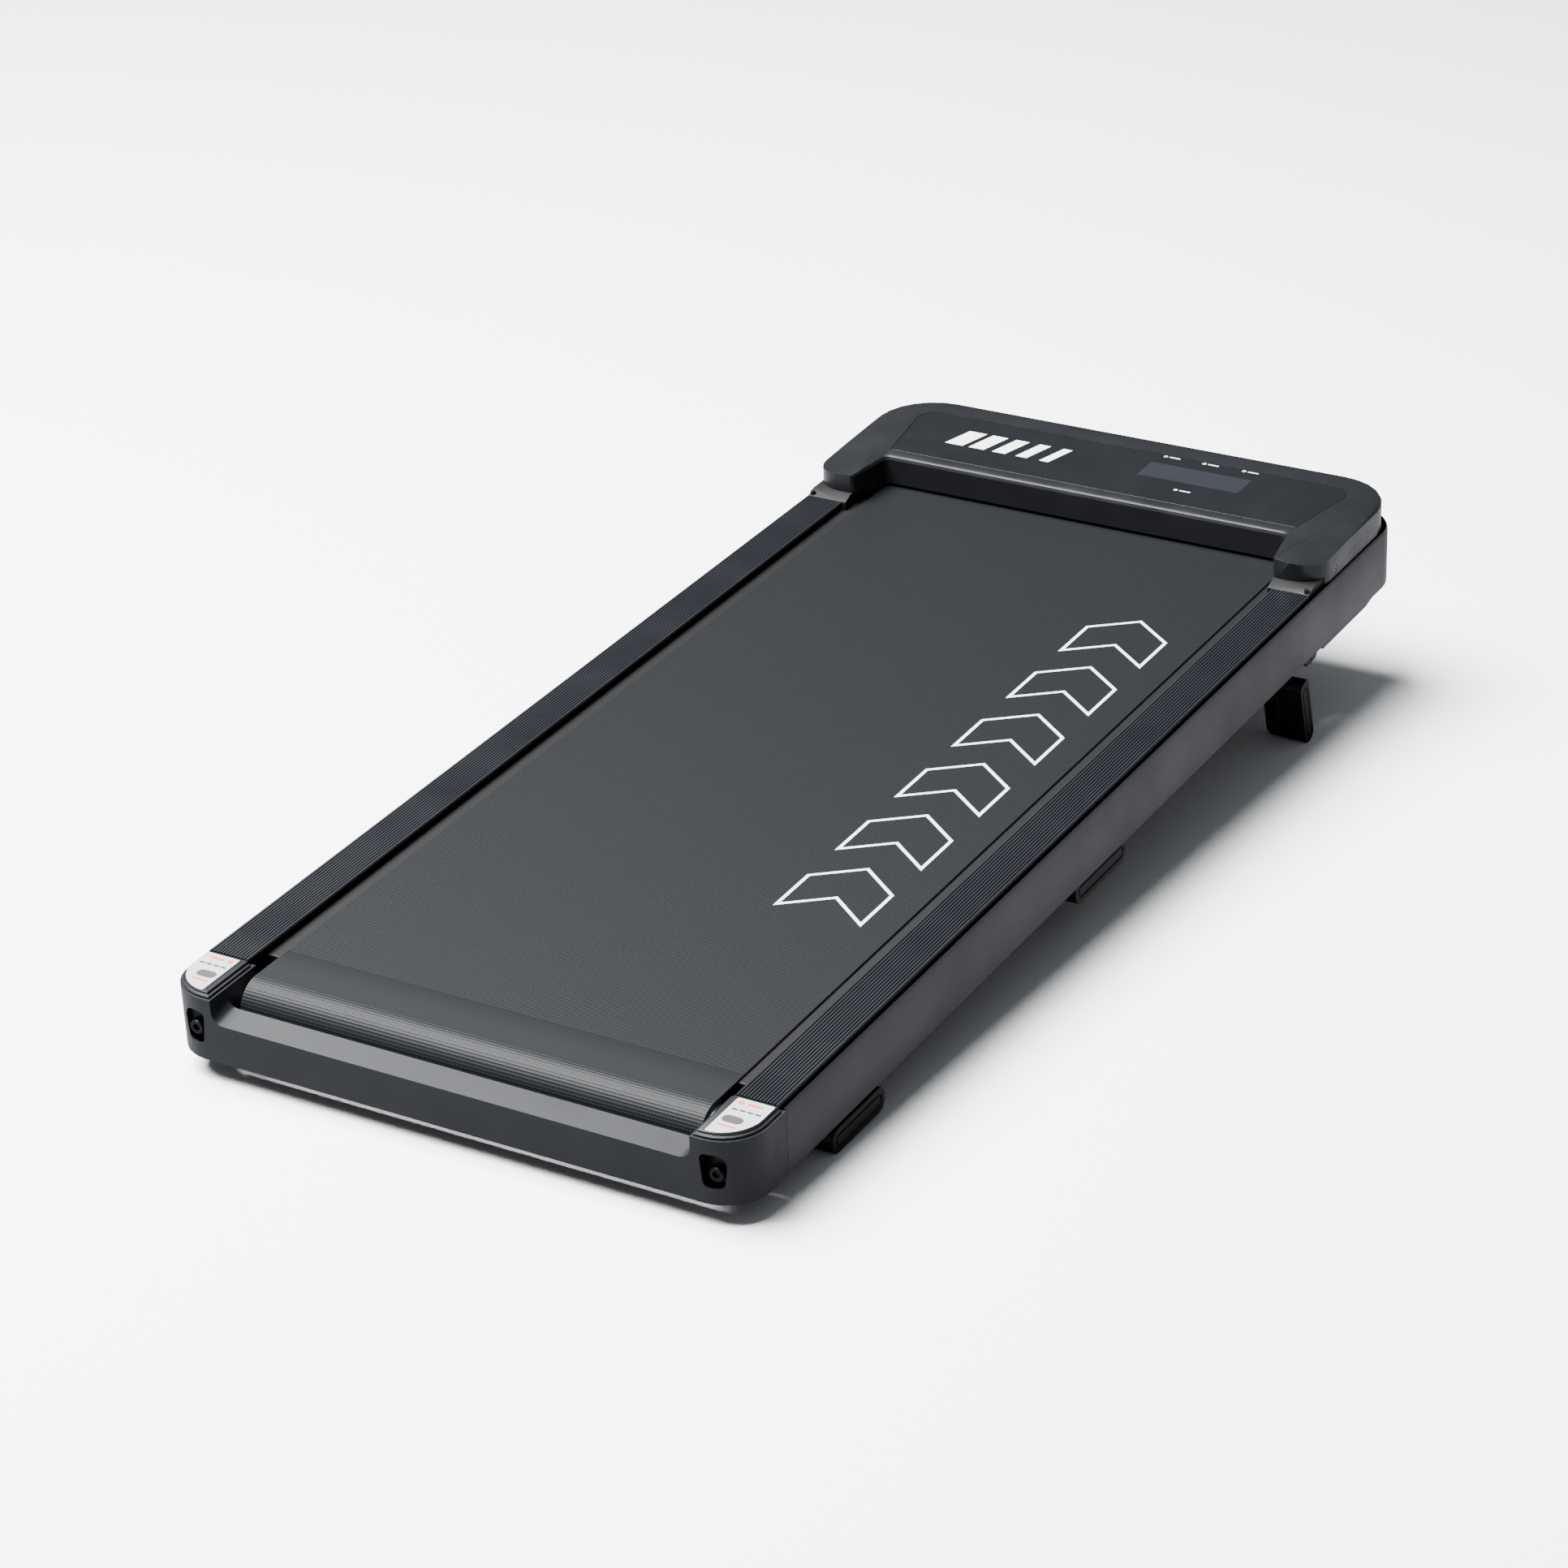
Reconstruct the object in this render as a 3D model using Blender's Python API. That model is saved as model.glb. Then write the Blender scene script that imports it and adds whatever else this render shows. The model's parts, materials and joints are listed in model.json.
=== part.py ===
"""A low walking treadmill with a belt deck, a motor hood and fold-down incline feet.

Everything is modelled in a level frame in metres: +X to the walker's right, +Y towards the hood,
+Z up, with X = 0 on the centre plane, Y = 0 where the foot rails meet the rear corner caps and
Z = 0 on top of the foot rails. One empty then tips the whole machine up onto its incline feet.
"""

from math import acos, asin, atan2, cos, pi, radians, sin, tan

import bmesh
import bpy
from mathutils import Matrix, Vector

# Driving dimensions: the whole machine.
OVER_COVERS = 0.515  # width over the side covers
RAIL_LENGTH = 0.930  # length of the ribbed foot rails
REAR_REACH = 0.057  # rear cover's top edge behind the rails
HOOD_REACH = 0.200  # hood's front face ahead of the rails
BELT_TO_COVER = 0.0042  # returning belt's underside to the side covers' lower edges
REAR_SKIRT = 0.001  # rear cover's underside below the side covers'
HOOD_RISE = 0.025  # top of the hood above the rail tops
GAP = 0.0003  # between pieces that touch
CORNER_RADIUS = 0.045  # plan radius of the four outer corners

# Walking belt and deck.
BELT_FROM_SIDE = 0.053  # belt's edge to the side cover's outer face
BELT_THICKNESS = 0.0016
BELT_DROP = 0.006  # belt's walking face below the rail tops
DECK_THICKNESS = 0.012
DECK_FROM_SIDE = 0.0255
DECK_START = 0.025
DECK_AHEAD = 0.030  # deck's front edge ahead of the rails
ROLLER_RADIUS = 0.022
ROLLER_STEP = 0.003  # roller's end neck below its surface
ROLLER_OVERHANG = 0.0015  # roller past the belt's edge, each side
AXLE_RADIUS = 0.0075
AXLE_CLEARANCE = 0.0003
REAR_AXLE_INSET = 0.021  # rear axle's end to the side cover's outer face
REAR_ROLLER_Y = -0.008
FRONT_ROLLER_AHEAD = 0.065  # front roller's axis ahead of the rails

# Foot rails and side covers.
FOOT_RAIL_WIDTH = 0.036
FOOT_RAIL_THICKNESS = 0.003
FOOT_RAIL_LEG = 0.011  # width of the leg that carries it on the frame
GROOVE_COUNT = 12
GROOVE_WIDTH = 0.0012
GROOVE_DEPTH = 0.0014
GROOVE_MARGIN = 0.003  # rail's edge to its first groove
RAIL_CHAMFER = 0.0008
RAIL_TO_COVER = 0.002  # dark gap between the foot rail and the cover's bead
COVER_WALL = 0.002
COVER_BEAD = 0.0025
COVER_LIP = 0.0085
COVER_START = 0.0033  # rear edge of the side covers
COVER_TOP_DROP = 0.003

# Steel frame.
FRAME_WALL = 0.002
FRAME_WIDTH = 0.0327
FRAME_INSET = 0.0075  # side cover's outer face to the frame tube
FRAME_ABOVE_COVER = 0.002  # frame's underside above the side covers' lower edges
CUSHION_THICKNESS = 0.004
FRAME_AHEAD = 0.032  # rails' tubes end ahead of the foot rails
BAY_RISE = 0.008  # motor-bay tubes above the rails' tubes
CROSS_SHARES = (("rear", 0.13), ("middle", 0.55), ("front", 0.95))  # places along the rails
CROSS_DEPTH = 0.020
CROSS_LENGTH = 0.040
FRONT_FRAME_WIDTH = 0.024
FRONT_FRAME_LENGTH = 0.116

# Rear cover, corner caps and belt adjusters.
REAR_RADIUS = 0.036  # plan radius of the rear corners
CORNER_STEPS = 8
TOWER_WIDTH = 0.0455
TOWER_TOP = 0.005  # below the rail tops
MOULDED_WALL = 0.002
LEDGE_DROP = 0.025
LEDGE_TO_BELT = 0.0031  # ledge's front edge to the belt's rear roll
LEDGE_RISE = 0.004
LEDGE_FILLET = 0.010
LEDGE_THICKNESS = 0.006
CAP_STEP = 0.0017
CAP_INSET = 0.002
PAD_INSET = 0.0045
LABEL_FROM_BELT = 0.0095  # label's edges from the tower's faces
LABEL_FROM_SIDE = 0.005
LABEL_FROM_RAIL = 0.003
LABEL_THICKNESS = 0.0005
LABEL_RADIUS = 0.0015
SLOT_TOP = 0.017
SLOT_HEIGHT = 0.029
SLOT_WIDTH = 0.022
SLOT_FROM_OUTSIDE = 0.028  # slot's centre from the cover's outer face
SLOT_RADII = (0.005, 0.006, 0.006, 0.009)  # its corners, from the belt's side at the top
SLOT_TAPER = 0.003  # each side leans in this much towards the bottom
SLOT_DEPTH = 0.022
BRACKET_THICKNESS = 0.0025
BRACKET_BACK = 0.048  # bracket's tab behind the rails' rear end
BRACKET_RISE = 0.014  # above the roller's axis
TAB_MARGIN = 0.0085  # tab past the bolt's axis, outwards and downwards
TAB_RADIUS = 0.006
BOLT_OUT = 0.001  # bolt's axis outwards from the slot's centre
BOLT_DROP = 0.005  # bolt's axis below the roller's
BOLT_KEY_DEPTH = 0.0025
BOLT_RADIUS = 0.004
BOLT_HEAD_RADIUS = 0.0062
BOLT_HEAD_LENGTH = 0.005
BOLT_KEY_RADIUS = 0.0032  # over the corners of the hex socket

# Hood, display and front panel.
HOOD_FACE_AHEAD = 0.062  # hood's face over the belt, ahead of the rails
ARM_START_AHEAD = 0.014
HOOD_INSET = 0.0025  # hood's side faces from the side covers' outer faces
HOOD_CORNER = 0.055
HOOD_INNER_RADIUS = 0.006
ARM_ROOT_WIDTH = 0.0545  # arm's inner face to the side cover's outer face
ARM_TIP_WIDTH = 0.0465
FACET_ALONG = 0.0444  # the arm's top falls this much towards its tip
FACET_ACROSS = 0.1067  # and this much outwards
FACET_LEVEL_AHEAD = 0.062
FACET_LEVEL_WIDTH = 0.0475
FACET_WIDTH = 0.0875
ARM_TIP_RADIUS = 0.027
HOOD_WALL = 0.0025
ARM_CAVITY_TOP = 0.0125
HOOD_SKIRT_DROP = 0.0026
HOOD_ROOF = 0.0045
HOOD_EDGE = 0.004
PANEL_THICKNESS = 0.0014
PANEL_RECESS = 0.0018
PANEL_NEAR_FROM_SIDE = 0.0515
PANEL_FAR_FROM_SIDE = 0.035
PANEL_NEAR_AHEAD = 0.076
PANEL_FAR_AHEAD = 0.1715
PANEL_RADIUS = 0.018
BOARD_X = (0.010, 0.150)
BOARD_FROM_PANEL = (0.030, 0.015)  # inside the panel's near and far edges
BOARD_THICKNESS = 0.0016
BOARD_BELOW_ROOF = 0.0024
END_BLOCK_LENGTH = 0.042
END_BLOCK_RISE = 0.004  # above the rail tops, under the arm's notched tip
END_BLOCK_RAMP = 0.010
ARM_NOTCH = 0.018
CLIP_RADIUS = 0.0024
SCREW_RADIUS = 0.0034
SCREW_RECESS = 0.0012
SCREW_KEY = 0.0014
SCREW_AHEAD = 0.052
SCREW_RISE = 0.0047
FRONT_PANEL_FROM_SIDE = 0.0578
FRONT_PANEL_WALL = 0.0025
FRONT_PANEL_FLANGE = 0.030
INLET_X = 0.150
INLET_HALF = (0.0135, 0.0100)
INLET_RADII = (0.0025, 0.0050)  # lower and upper corners
INLET_WALL = 0.002
PIN_HALF = (0.001, 0.002)
PIN_STAGGER = 0.002  # outer pins below and the middle one above the inlet's middle
PIN_PITCH = 0.007
SWITCH_X = 0.108
SWITCH_HALF = (0.0105, 0.0075)
SWITCH_WALL = 0.0015
BREAKER_X = 0.078
BREAKER_RADIUS = 0.0038
BREAKER_CROWN = 0.0020  # button's face ahead of the panel's
BREAKER_STEM = 0.010
FITTING_DEPTH = 0.016  # inlet and switch behind the front panel's inner face
FITTING_DROP = 0.031  # middle of the mains fittings below the rail tops
ROCKER_TILT = radians(8)
ROCKER_BACK = 0.0045  # rocker's axis behind the hood's front face

# Bottom pan.
PAN_INSET = 0.0055
PAN_DEPTH = 0.0098
PAN_WALL = 0.0022
PAN_START_AHEAD = 0.034
PAN_FLAT_LENGTH = 0.096
PAN_RAMP_LENGTH = 0.030

# Motor bay.
MOTOR_RADIUS = 0.032
MOTOR_LENGTH = 0.140
MOTOR_AHEAD = 0.140
MOTOR_DROP = 0.019
MOTOR_FROM_SIDE = 0.1075
MOTOR_PULLEY_RADIUS = 0.011
ROLLER_PULLEY_RADIUS = 0.023
PULLEY_WIDTH = 0.013
DRIVE_BELT_THICKNESS = 0.002
SHAFT_RADIUS = 0.005
MOTOR_PLATE_THICKNESS = 0.002
MOTOR_BORE = 0.012
MOTOR_END = 0.020  # depth of the end that carries the shaft
SHAFT_REACH = 0.030  # shaft's end inside the motor
CRADLE_FROM_END = 0.030
CRADLE_RISE = 0.45  # cradle's top below the shaft, as a share of the motor's radius
CRADLE_HALF = 0.010
CRADLE_BACK = 0.040
CRADLE_AHEAD = 0.024
CONTROLLER_X = 0.030
CONTROLLER_FROM_FRAME = 0.020
CONTROLLER_BASE = 0.005
FIN_COUNT = 8
FIN_HEIGHT = 0.018
FIN_SHARE = 0.3  # fin's thickness as a share of the pitch

# Feet and wheels.
FOOT_THICKNESS = 0.021
FOOT_EDGE_RADIUS = 0.0085
FOOT_GROOVE_MARGIN = 0.0048
FOOT_GROOVE_WIDTH = 0.0016
FOOT_GROOVE_DEPTH = 0.0012
COVER_CLEARANCE = 0.029  # side covers above the floor with the incline feet folded away
REAR_FOOT_START = 0.073
REAR_FOOT_LENGTH = 0.079
REAR_FOOT_INSET = 0.0035
MIDDLE_FOOT_SHARE = 0.5215  # start of the middle feet as a share of the rails' length
MIDDLE_FOOT_LENGTH = 0.091
MIDDLE_FOOT_INSET = 0.010
FOOT_WIDTH = 0.036
INCLINE_PIVOT_BACK = 0.004  # incline foot's pivot behind the rails' front end
INCLINE_PIVOT_DROP = 0.014  # below the frame
INCLINE_LENGTH = 0.082  # pivot to the end of the foot
INCLINE_LEAN = radians(13.4)  # the unfolded foot leans forward, past upright
INCLINE_INSET = 0.0075
INCLINE_THICKNESS = 0.017
INCLINE_TIP_RADIUS = 0.007
INCLINE_ARM_WIDTH = 0.013  # the arm that carries the pivot, on the belt's side
INCLINE_BAR_START = 0.0165  # from the pivot to the outer bar's shoulder
INCLINE_STEP = 0.0004  # arm's faces inside the bar's
INCLINE_RIB = 0.0035
FLUTE_SPAN = (0.030, 0.058)  # the arm's flute, from the pivot
INCLINE_RIB_START = 0.026  # from the pivot, past the bracket's flange when folded
LUG_WIDTH = 0.009
LUG_CLEARANCE = 0.0006
LUG_RADIUS = 0.008
PIN_RADIUS = 0.004
PIN_CLEARANCE = 0.0002
FLANGE_THICKNESS = 0.0022
FLANGE_HALF = 0.022
WHEEL_RADIUS = 0.0135
WHEEL_WIDTH = 0.013
WHEEL_AHEAD = 0.036
WHEEL_INSET = 0.018
WHEEL_BORE = 0.0032
TYRE_EDGE = 0.0012
FORK_THICKNESS = 0.003
FORK_HALF = 0.007  # half the fork's length along the rail
FORK_ROOF = 0.0018

# Places worked out from the driving dimensions.
HALF = OVER_COVERS / 2
BELT_WIDTH = OVER_COVERS - 2 * BELT_FROM_SIDE
ARM_ROOT_INNER = HALF - ARM_ROOT_WIDTH
ARM_TIP_INNER = HALF - ARM_TIP_WIDTH
FRONT_PANEL_HALF = HALF - FRONT_PANEL_FROM_SIDE
MOTOR_LEFT = MOTOR_FROM_SIDE - HALF
MIDDLE_FOOT_START = RAIL_LENGTH * MIDDLE_FOOT_SHARE
HOOD_FRONT = RAIL_LENGTH + HOOD_REACH
BELT_TOP = -BELT_DROP
BELT_BORE = ROLLER_RADIUS + GAP
ROLLER_Z = BELT_TOP - BELT_THICKNESS - BELT_BORE
COVER_DROP = BELT_BORE + BELT_THICKNESS - ROLLER_Z + BELT_TO_COVER
REAR_DROP = COVER_DROP + REAR_SKIRT
FRAME_BOTTOM = COVER_DROP - FRAME_ABOVE_COVER
FLAT_HEIGHT = COVER_DROP + COVER_CLEARANCE
LEDGE_REACH = REAR_REACH + REAR_ROLLER_Y - BELT_BORE - BELT_THICKNESS - LEDGE_TO_BELT
FRONT_ROLLER_Y = RAIL_LENGTH + FRONT_ROLLER_AHEAD
ROLLER_HALF = BELT_WIDTH / 2 + ROLLER_OVERHANG
DECK_TOP = BELT_TOP - BELT_THICKNESS - GAP
DECK_BOTTOM = DECK_TOP - DECK_THICKNESS
DECK_END = RAIL_LENGTH + DECK_AHEAD
FOOT_RAIL_OUTER = HALF - COVER_BEAD - RAIL_TO_COVER
FOOT_RAIL_INNER = FOOT_RAIL_OUTER - FOOT_RAIL_WIDTH
FRAME_OUTER = HALF - FRAME_INSET
FRAME_INNER = FRAME_OUTER - FRAME_WIDTH
FRAME_TOP = DECK_BOTTOM - CUSHION_THICKNESS - 2 * GAP
FRAME_END = RAIL_LENGTH + FRAME_AHEAD
FRONT_FRAME_INNER = FRAME_OUTER - FRONT_FRAME_WIDTH
FRONT_FRAME_END = FRAME_END + GAP + FRONT_FRAME_LENGTH
TOWER_INNER = HALF - TOWER_WIDTH
TOWER_END = COVER_START - 0.0004
MOTOR_Y = RAIL_LENGTH + MOTOR_AHEAD
MOTOR_Z = -MOTOR_DROP
PULLEY_X = -ROLLER_HALF - GAP - PULLEY_WIDTH / 2
HOOD_FACE = RAIL_LENGTH + HOOD_FACE_AHEAD
ARM_START = RAIL_LENGTH + ARM_START_AHEAD
HOOD_HALF = HALF - HOOD_INSET
HOOD_BOTTOM = -HOOD_SKIRT_DROP
FRONT_CORNER_Y = HOOD_FRONT - CORNER_RADIUS
FOOT_TOP = -FLAT_HEIGHT + FOOT_THICKNESS
PIVOT_Y = RAIL_LENGTH - INCLINE_PIVOT_BACK
PIVOT_Z = -FRAME_BOTTOM - INCLINE_PIVOT_DROP
INCLINE_OUTER = HALF - INCLINE_INSET
INCLINE_INNER = INCLINE_OUTER - FOOT_WIDTH
INCLINE_ARM_OUTER = INCLINE_INNER + INCLINE_ARM_WIDTH
UNDER_FRAME = -FRAME_BOTTOM - GAP
WHEEL_Y = RAIL_LENGTH + WHEEL_AHEAD
WHEEL_Z = -FLAT_HEIGHT + WHEEL_RADIUS
WHEEL_OUTER = HALF - WHEEL_INSET
WHEEL_INNER = WHEEL_OUTER - WHEEL_WIDTH
BOLT_X = HALF - SLOT_FROM_OUTSIDE + BOLT_OUT
BOLT_Z = ROLLER_Z - BOLT_DROP

SIDES = (("left", -1), ("right", 1))
AXES = {"x": (1, 2, 0), "y": (0, 2, 1), "z": (0, 1, 2)}  # the outline's two axes, then the extrusion's

FINISHES = {
    "moulded_black": ((0.030, 0.031, 0.034), 0.45, 0.0),
    "moulded_charcoal": ((0.045, 0.047, 0.050), 0.50, 0.0),
    "coated_metal": ((0.060, 0.062, 0.066), 0.42, 0.3),
    "belt_rubber": ((0.012, 0.012, 0.013), 0.70, 0.0),
    "foot_rubber": ((0.020, 0.020, 0.022), 0.80, 0.0),
    "panel_gloss": ((0.016, 0.017, 0.019), 0.20, 0.0),
    "zinc_steel": ((0.550, 0.560, 0.570), 0.35, 1.0),
    "bare_aluminium": ((0.600, 0.610, 0.620), 0.40, 1.0),
    "deck_wood": ((0.090, 0.070, 0.055), 0.60, 0.0),
    "label_grey": ((0.480, 0.480, 0.480), 0.50, 0.0),
    "board_green": ((0.020, 0.120, 0.060), 0.50, 0.0),
}


def material_for(finish):
    """The shared Principled material of that finish, made on first use."""
    found = bpy.data.materials.get(finish)
    if found:
        return found
    colour, roughness, metallic = FINISHES[finish]
    made = bpy.data.materials.new(finish)
    made.use_nodes = True
    shader = made.node_tree.nodes["Principled BSDF"]
    shader.inputs["Base Color"].default_value = (*colour, 1.0)
    shader.inputs["Roughness"].default_value = roughness
    shader.inputs["Metallic"].default_value = metallic
    made.diffuse_color = (*colour, 1.0)
    return made


def arc(centre, radius, start, end, steps):
    """Points on an arc from one angle to another, both ends included."""
    angles = [start + (end - start) * i / steps for i in range(steps + 1)]
    return [(centre[0] + radius * cos(a), centre[1] + radius * sin(a)) for a in angles]


def rounded(corners, steps=4):
    """A closed outline from (a, b, radius) corners, each turned by an arc of that radius."""
    outline = []
    for i, (a, b, radius) in enumerate(corners):
        here = Vector((a, b))
        back = (Vector(corners[i - 1][:2]) - here).normalized()
        ahead = (Vector(corners[(i + 1) % len(corners)][:2]) - here).normalized()
        if radius == 0:
            outline.append((a, b))
            continue
        half = back.angle(ahead) / 2
        centre = here + (back + ahead).normalized() * radius / sin(half)
        first = here + back * radius / tan(half) - centre
        turn = first.angle_signed(here + ahead * radius / tan(half) - centre)
        base = atan2(first.y, first.x)
        outline += arc(centre, radius, base, base - turn, steps)
    return outline


def inset(outline, distance):
    """The outline moved inwards by the distance, whichever way round it runs."""
    count = len(outline)
    points = [Vector(p) for p in outline]
    area = sum(points[i - 1].x * points[i].y - points[i].x * points[i - 1].y for i in range(count))
    sense = 1 if area > 0 else -1
    moved = []
    for i, here in enumerate(points):
        before = (here - points[i - 1]).normalized()
        after = (points[(i + 1) % count] - here).normalized()
        normal = Vector((-before.y - after.y, before.x + after.x)).normalized() * sense
        share = max(0.3, normal.dot(Vector((-before.y, before.x)) * sense))
        moved.append(tuple(here + normal * distance / share))
    return moved


def around(centre_a, radius_a, centre_b, radius_b, steps=12):
    """The outline of a belt run round two circles, a lower in the first axis than b."""
    span = Vector(centre_b) - Vector(centre_a)
    lean = atan2(span.y, span.x)
    tilt = asin((radius_a - radius_b) / span.length)
    first = arc(centre_a, radius_a, lean + pi / 2 - tilt, lean + 3 * pi / 2 + tilt, steps)
    second = arc(centre_b, radius_b, lean - pi / 2 + tilt, lean + pi / 2 - tilt, steps)
    return first + second


def lofted(layers, axis="z"):
    """A closed body through (outline, level) layers along an axis."""
    first, second, along = AXES[axis]
    body = bmesh.new()
    rings = []
    for outline, level in layers:
        ring = []
        for a, b in outline:
            place = [0.0, 0.0, 0.0]
            place[first] = a
            place[second] = b
            place[along] = level
            ring.append(body.verts.new(place))
        rings.append(ring)
    body.faces.new(rings[0])
    body.faces.new(rings[-1])
    for lower, upper in zip(rings, rings[1:]):
        for i in range(len(lower)):
            j = (i + 1) % len(lower)
            body.faces.new((lower[i], lower[j], upper[j], upper[i]))
    bmesh.ops.recalc_face_normals(body, faces=body.faces)
    return body


def prism(outline, low, high, axis="z"):
    """The outline extruded from one level to another along an axis."""
    return lofted([(outline, low), (outline, high)], axis)


def block(x0, x1, y0, y1, z0, z1):
    """A rectangular body."""
    return prism([(x0, y0), (x1, y0), (x1, y1), (x0, y1)], z0, z1)


def hoop(outer, inner, low, high, axis="x"):
    """The band between two outlines with equally many points, extruded along an axis."""
    first, second, along = AXES[axis]
    body = bmesh.new()
    rings = []
    for outline, level in ((outer, low), (outer, high), (inner, high), (inner, low)):
        ring = []
        for a, b in outline:
            place = [0.0, 0.0, 0.0]
            place[first] = a
            place[second] = b
            place[along] = level
            ring.append(body.verts.new(place))
        rings.append(ring)
    for k, ring in enumerate(rings):
        after = rings[(k + 1) % len(rings)]
        for i in range(len(ring)):
            j = (i + 1) % len(ring)
            body.faces.new((ring[i], ring[j], after[j], after[i]))
    bmesh.ops.recalc_face_normals(body, faces=body.faces)
    return body


def turned(profile, centre, axis="x", steps=32):
    """A body turned about an axis through centre, from (radius, along) points.

    A profile that starts and ends at radius 0 makes a solid, any other is closed into a ring.
    """
    first, second, along = AXES[axis]
    body = bmesh.new()
    solid = profile[0][0] == 0
    rings = []
    for radius, level in profile:
        ring = []
        for k in range(steps if radius > 0 else 1):
            angle = 2 * pi * k / steps
            place = list(centre)
            place[first] += radius * cos(angle)
            place[second] += radius * sin(angle)
            place[along] += level
            ring.append(body.verts.new(place))
        rings.append(ring)
    pairs = list(zip(rings, rings[1:]))
    if not solid:
        pairs.append((rings[-1], rings[0]))
    for lower, upper in pairs:
        for k in range(steps):
            j = (k + 1) % steps
            if len(lower) == 1:
                body.faces.new((lower[0], upper[j], upper[k]))
            elif len(upper) == 1:
                body.faces.new((lower[k], lower[j], upper[0]))
            else:
                body.faces.new((lower[k], lower[j], upper[j], upper[k]))
    bmesh.ops.recalc_face_normals(body, faces=body.faces)
    return body


def rod(radius, low, high, centre, axis="x", steps=24):
    """A plain solid cylinder."""
    return turned([(0, low), (radius, low), (radius, high), (0, high)], centre, axis, steps)


def placed(name, body, finish, origin=(0.0, 0.0, 0.0), bevel=0.0):
    """Makes the body an object of the machine, with its origin at the given point."""
    bmesh.ops.translate(body, verts=body.verts, vec=-Vector(origin))
    mesh = bpy.data.meshes.new(name)
    body.to_mesh(mesh)
    body.free()
    mesh.materials.append(material_for(finish))
    mesh.shade_smooth()
    mesh.set_sharp_from_angle(angle=radians(35))
    made = bpy.data.objects.new(name, mesh)
    bpy.context.scene.collection.objects.link(made)
    made.parent = bpy.data.objects["treadmill"]
    made.location = origin
    if bevel:
        edge = made.modifiers.new("edges", "BEVEL")
        edge.width = bevel
        edge.segments = 2
        edge.limit_method = "ANGLE"
        edge.angle_limit = radians(50)
    return made


def combined(target, body, operation="DIFFERENCE"):
    """Cuts the body from the target or joins it on, as a Boolean with a hidden helper."""
    count = len(target.modifiers)
    helper = placed(f"{target.name}_helper_{count}", body, "moulded_black")
    helper.hide_render = True
    helper.display_type = "WIRE"
    step = target.modifiers.new(f"step_{count}", "BOOLEAN")
    step.operation = operation
    step.object = helper
    step.solver = "EXACT"
    return target


def tube(name, x, y, z, along, finish="coated_metal"):
    """A rectangular steel tube between (low, high) pairs, open at both ends of its length."""
    outer = [Vector(x), Vector(y), Vector(z)]
    first, second, way = AXES[along]
    (a0, a1), (b0, b1) = outer[first], outer[second]
    outside = [(a0, b0), (a1, b0), (a1, b1), (a0, b1)]
    low, high = outer[way]
    return placed(name, hoop(outside, inset(outside, FRAME_WALL), low, high, along), finish)


def mirrored(outline, side):
    """The outline with its first axis turned to that side."""
    return [(a * side, b) for a, b in outline]


def span(side, low, high):
    """The two X limits of a piece that runs from low to high on the right, on that side."""
    return (low * side, high * side) if side > 0 else (high * side, low * side)


def build_frame():
    """Steel tubes: side rails, motor-bay rails and cross members."""
    for name, side in SIDES:
        x = span(side, FRAME_INNER, FRAME_OUTER)
        tube(f"frame_rail_{name}", x, (COVER_START + 0.002, FRAME_END), (-FRAME_BOTTOM, FRAME_TOP), "y")
        x = span(side, FRONT_FRAME_INNER, FRAME_OUTER)
        y = (FRAME_END + GAP, FRONT_FRAME_END)
        bay = tube(f"front_frame_{name}", x, y, (-FRAME_BOTTOM, FRAME_TOP + BAY_RISE), "y")
        bore = AXLE_RADIUS + AXLE_CLEARANCE
        low, high = span(side, FRONT_FRAME_INNER - 0.002, FRONT_FRAME_INNER + FRAME_WALL + 0.002)
        combined(bay, rod(bore, low, high, (0, FRONT_ROLLER_Y, ROLLER_Z), steps=20))
    inner = FRAME_INNER - GAP
    for name, share in CROSS_SHARES:
        centre = RAIL_LENGTH * share
        y = (centre - CROSS_LENGTH / 2, centre + CROSS_LENGTH / 2)
        z = (DECK_BOTTOM - GAP - CROSS_DEPTH, DECK_BOTTOM - GAP)
        tube(f"cross_member_{name}", (-inner, inner), y, z, "x")


def build_deck():
    """Walking board, its cushion strips and the belt that runs round it."""
    half = HALF - DECK_FROM_SIDE
    board = block(-half, half, DECK_START, DECK_END, DECK_BOTTOM, DECK_TOP)
    placed("deck_board", board, "deck_wood", bevel=0.001)
    for name, side in SIDES:
        low, high = span(side, FRAME_INNER + 0.001, half - 0.001)
        strip = block(low, high, DECK_START, DECK_END - 0.005, FRAME_TOP + GAP, DECK_BOTTOM - GAP)
        placed(f"deck_cushion_{name}", strip, "foot_rubber")
    rear = (REAR_ROLLER_Y, ROLLER_Z)
    front = (FRONT_ROLLER_Y, ROLLER_Z)
    outside = BELT_BORE + BELT_THICKNESS
    outer = around(rear, outside, front, outside, 16)
    inner = around(rear, BELT_BORE / cos(pi / 32), front, BELT_BORE / cos(pi / 32), 16)
    placed("walking_belt", hoop(outer, inner, -BELT_WIDTH / 2, BELT_WIDTH / 2), "belt_rubber")


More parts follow.
